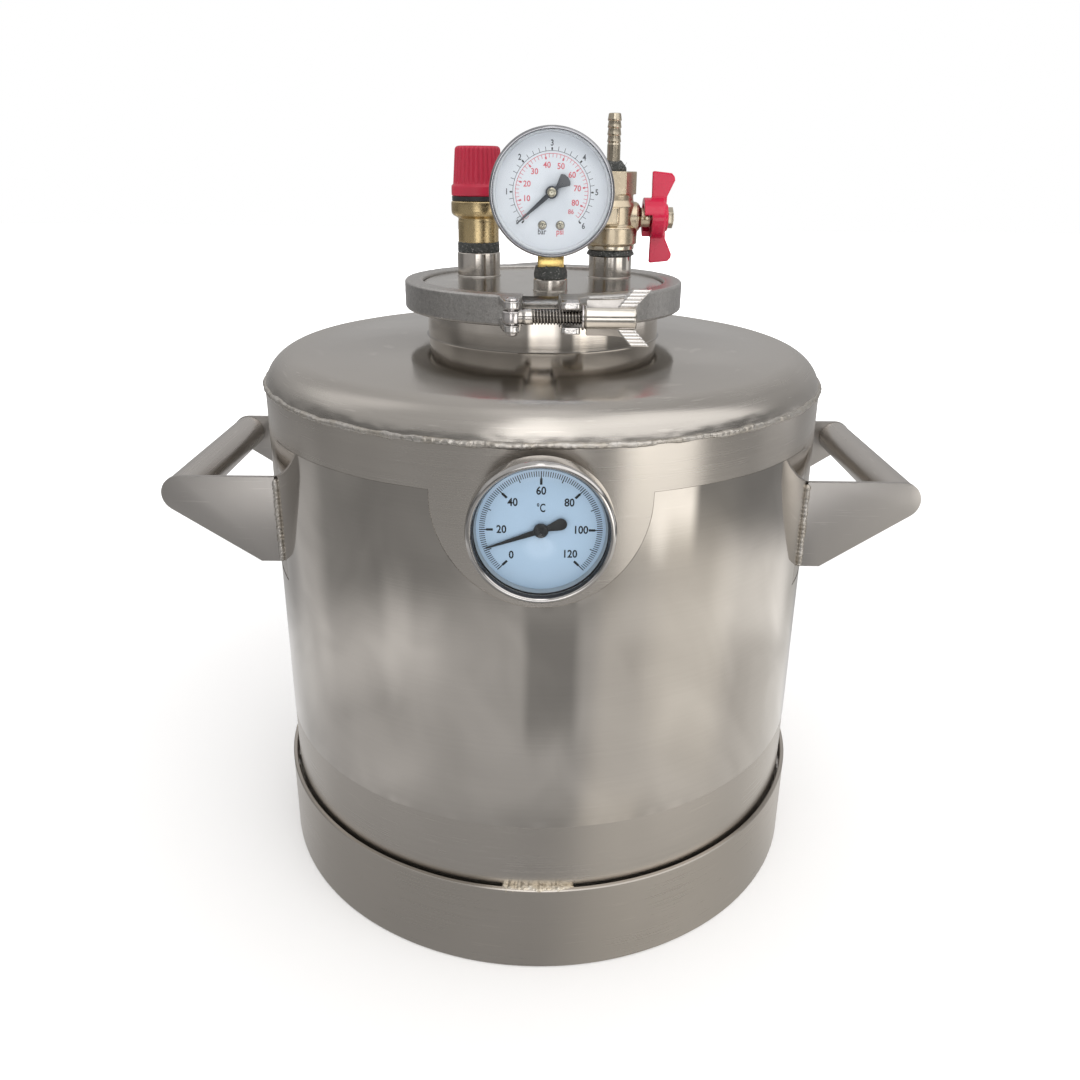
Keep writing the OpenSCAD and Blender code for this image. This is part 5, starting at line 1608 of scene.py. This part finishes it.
DARK = [
    (12, 17, -13, 2, 1.5, 4, 0.35), (32, 35.5, -10, 3, 1.5, 4, 0.25),
    (47, 49, -10, 3, 1.5, 4, 0.20), (-100, 100, 3, 17, 12, 4, 0.50),
    (-150, -86, -13, 4, 8, 4, 0.35), (-7, 15, -34.5, -27.5, 2.5, 1.4, 0.42)]

world = bpy.data.worlds.new("room")
scene.world = world
world.use_nodes = True
g = Nodes(world.node_tree, "OutputWorld")
direction = g.split(g.coords["Generated"])
azimuth = g.math("ARCTAN2", direction[0], g.mul(direction[1], -1.0))
elevation = g.math("ARCSINE", direction[2])


def band(value, start, end, soft):
    """1 between start and end degrees, with soft edges."""
    rise = g.ramp(value, radians(start - soft), radians(start + soft), 0, 1, "SMOOTHSTEP")
    fall = g.ramp(value, radians(end - soft), radians(end + soft), 1, 0, "SMOOTHSTEP")
    return g.mul(rise, fall)


def patches(rows):
    return [g.mul(g.mul(band(azimuth, az0, az1, az_soft), band(elevation, el0, el1, el_soft)),
                  strength)
            for az0, az1, el0, el1, az_soft, el_soft, strength in rows]


def background(colour, strength):
    return g.node("Background", {0: colour, 1: strength}).outputs[0]


behind = g.ramp(g.math("ABSOLUTE", azimuth), radians(95), radians(165), 0, 1, "SMOOTHSTEP")
base = g.ramp(elevation, radians(-5), radians(40), 0.26, 0.40)
low = g.ramp(elevation, radians(-60), radians(-38), 0.10, 0.0)
cool = reduce(g.add, [g.add(base, low)] + patches(COOL) + [g.mul(behind, 0.18)])
dark = reduce(g.add, patches(DARK))
warm = reduce(g.add, patches(WARM))
cool = g.mul(cool, g.math("SUBTRACT", 1.0, dark, clamp=True))
# slanting folds vary the cool light a little
fold_vec = g.comb(g.add(g.mul(azimuth, 1.6), g.mul(elevation, 4.0)), g.mul(elevation, 11.0),
                  4.0)
folds = g.noise(1.0, detail=2, rough=0.5, vec=fold_vec, dist=0.8)
cool = g.mul(cool, g.ramp(folds, 0.25, 0.75, 0.84, 1.16))
colour = g.comb(*[g.add(g.mul(cool, cool_part), g.mul(warm, warm_part))
                  for cool_part, warm_part in zip(COOL_TINT, WARM_TINT)])
ray = g.node("LightPath").outputs
lighting = g.node("MixShader", {0: ray["Is Glossy Ray"],
                                1: background((1.0, 0.99, 0.985, 1), DIFFUSE),
                                2: background(colour, 1.0)})
seen = g.node("MixShader", {0: ray["Is Camera Ray"], 1: lighting.outputs[0],
                            2: background((1, 1, 1, 1), 1.0)})
g.fill(g.output.inputs[0], seen.outputs[0])

# one big soft lamp above, to the front right, aimed at the vessel
LAMP_WATTS = 9.0
lamp_data = bpy.data.lights.new("soft_lamp", "AREA")
lamp_data.shape = "RECTANGLE"
lamp_data.size = 1.6
lamp_data.size_y = 1.2
lamp_data.energy = LAMP_WATTS
lamp_data.color = (1.0, 0.985, 0.96)
lamp = bpy.data.objects.new("soft_lamp", lamp_data)
lamp.location = (0.7, -1.0, 1.7)
aim = Vector((0, 0, 0.25)) - lamp.location
lamp.rotation_euler = aim.to_track_quat("-Z", "Y").to_euler()
lamp.visible_glossy = False
scene.collection.objects.link(lamp)

# ---------------------------------------------------------------- camera
CAMERA_PLACE = (0, -0.565462, 0.426017)
CAMERA_DOWN, CAMERA_ROLL = 0.352, 0.0098    # radians
camera_data = bpy.data.cameras.new("cam")
camera = add_object("cam", camera_data)
camera_data.sensor_width = 36
camera_data.sensor_fit = "HORIZONTAL"
camera_data.lens = 30.5021667
camera_data.shift_x = -0.00101388889
camera_data.shift_y = -0.037037037
camera_data.clip_start = 0.01
camera_data.clip_end = 30
camera.matrix_world = (Matrix.Translation(CAMERA_PLACE)
                       @ Matrix.Rotation(pi / 2 - CAMERA_DOWN, 4, "X")
                       @ Matrix.Rotation(CAMERA_ROLL, 4, "Z"))
scene.camera = camera
scene.view_settings.view_transform = "Standard"
scene.view_settings.look = "None"
scene.view_settings.exposure = 0.0
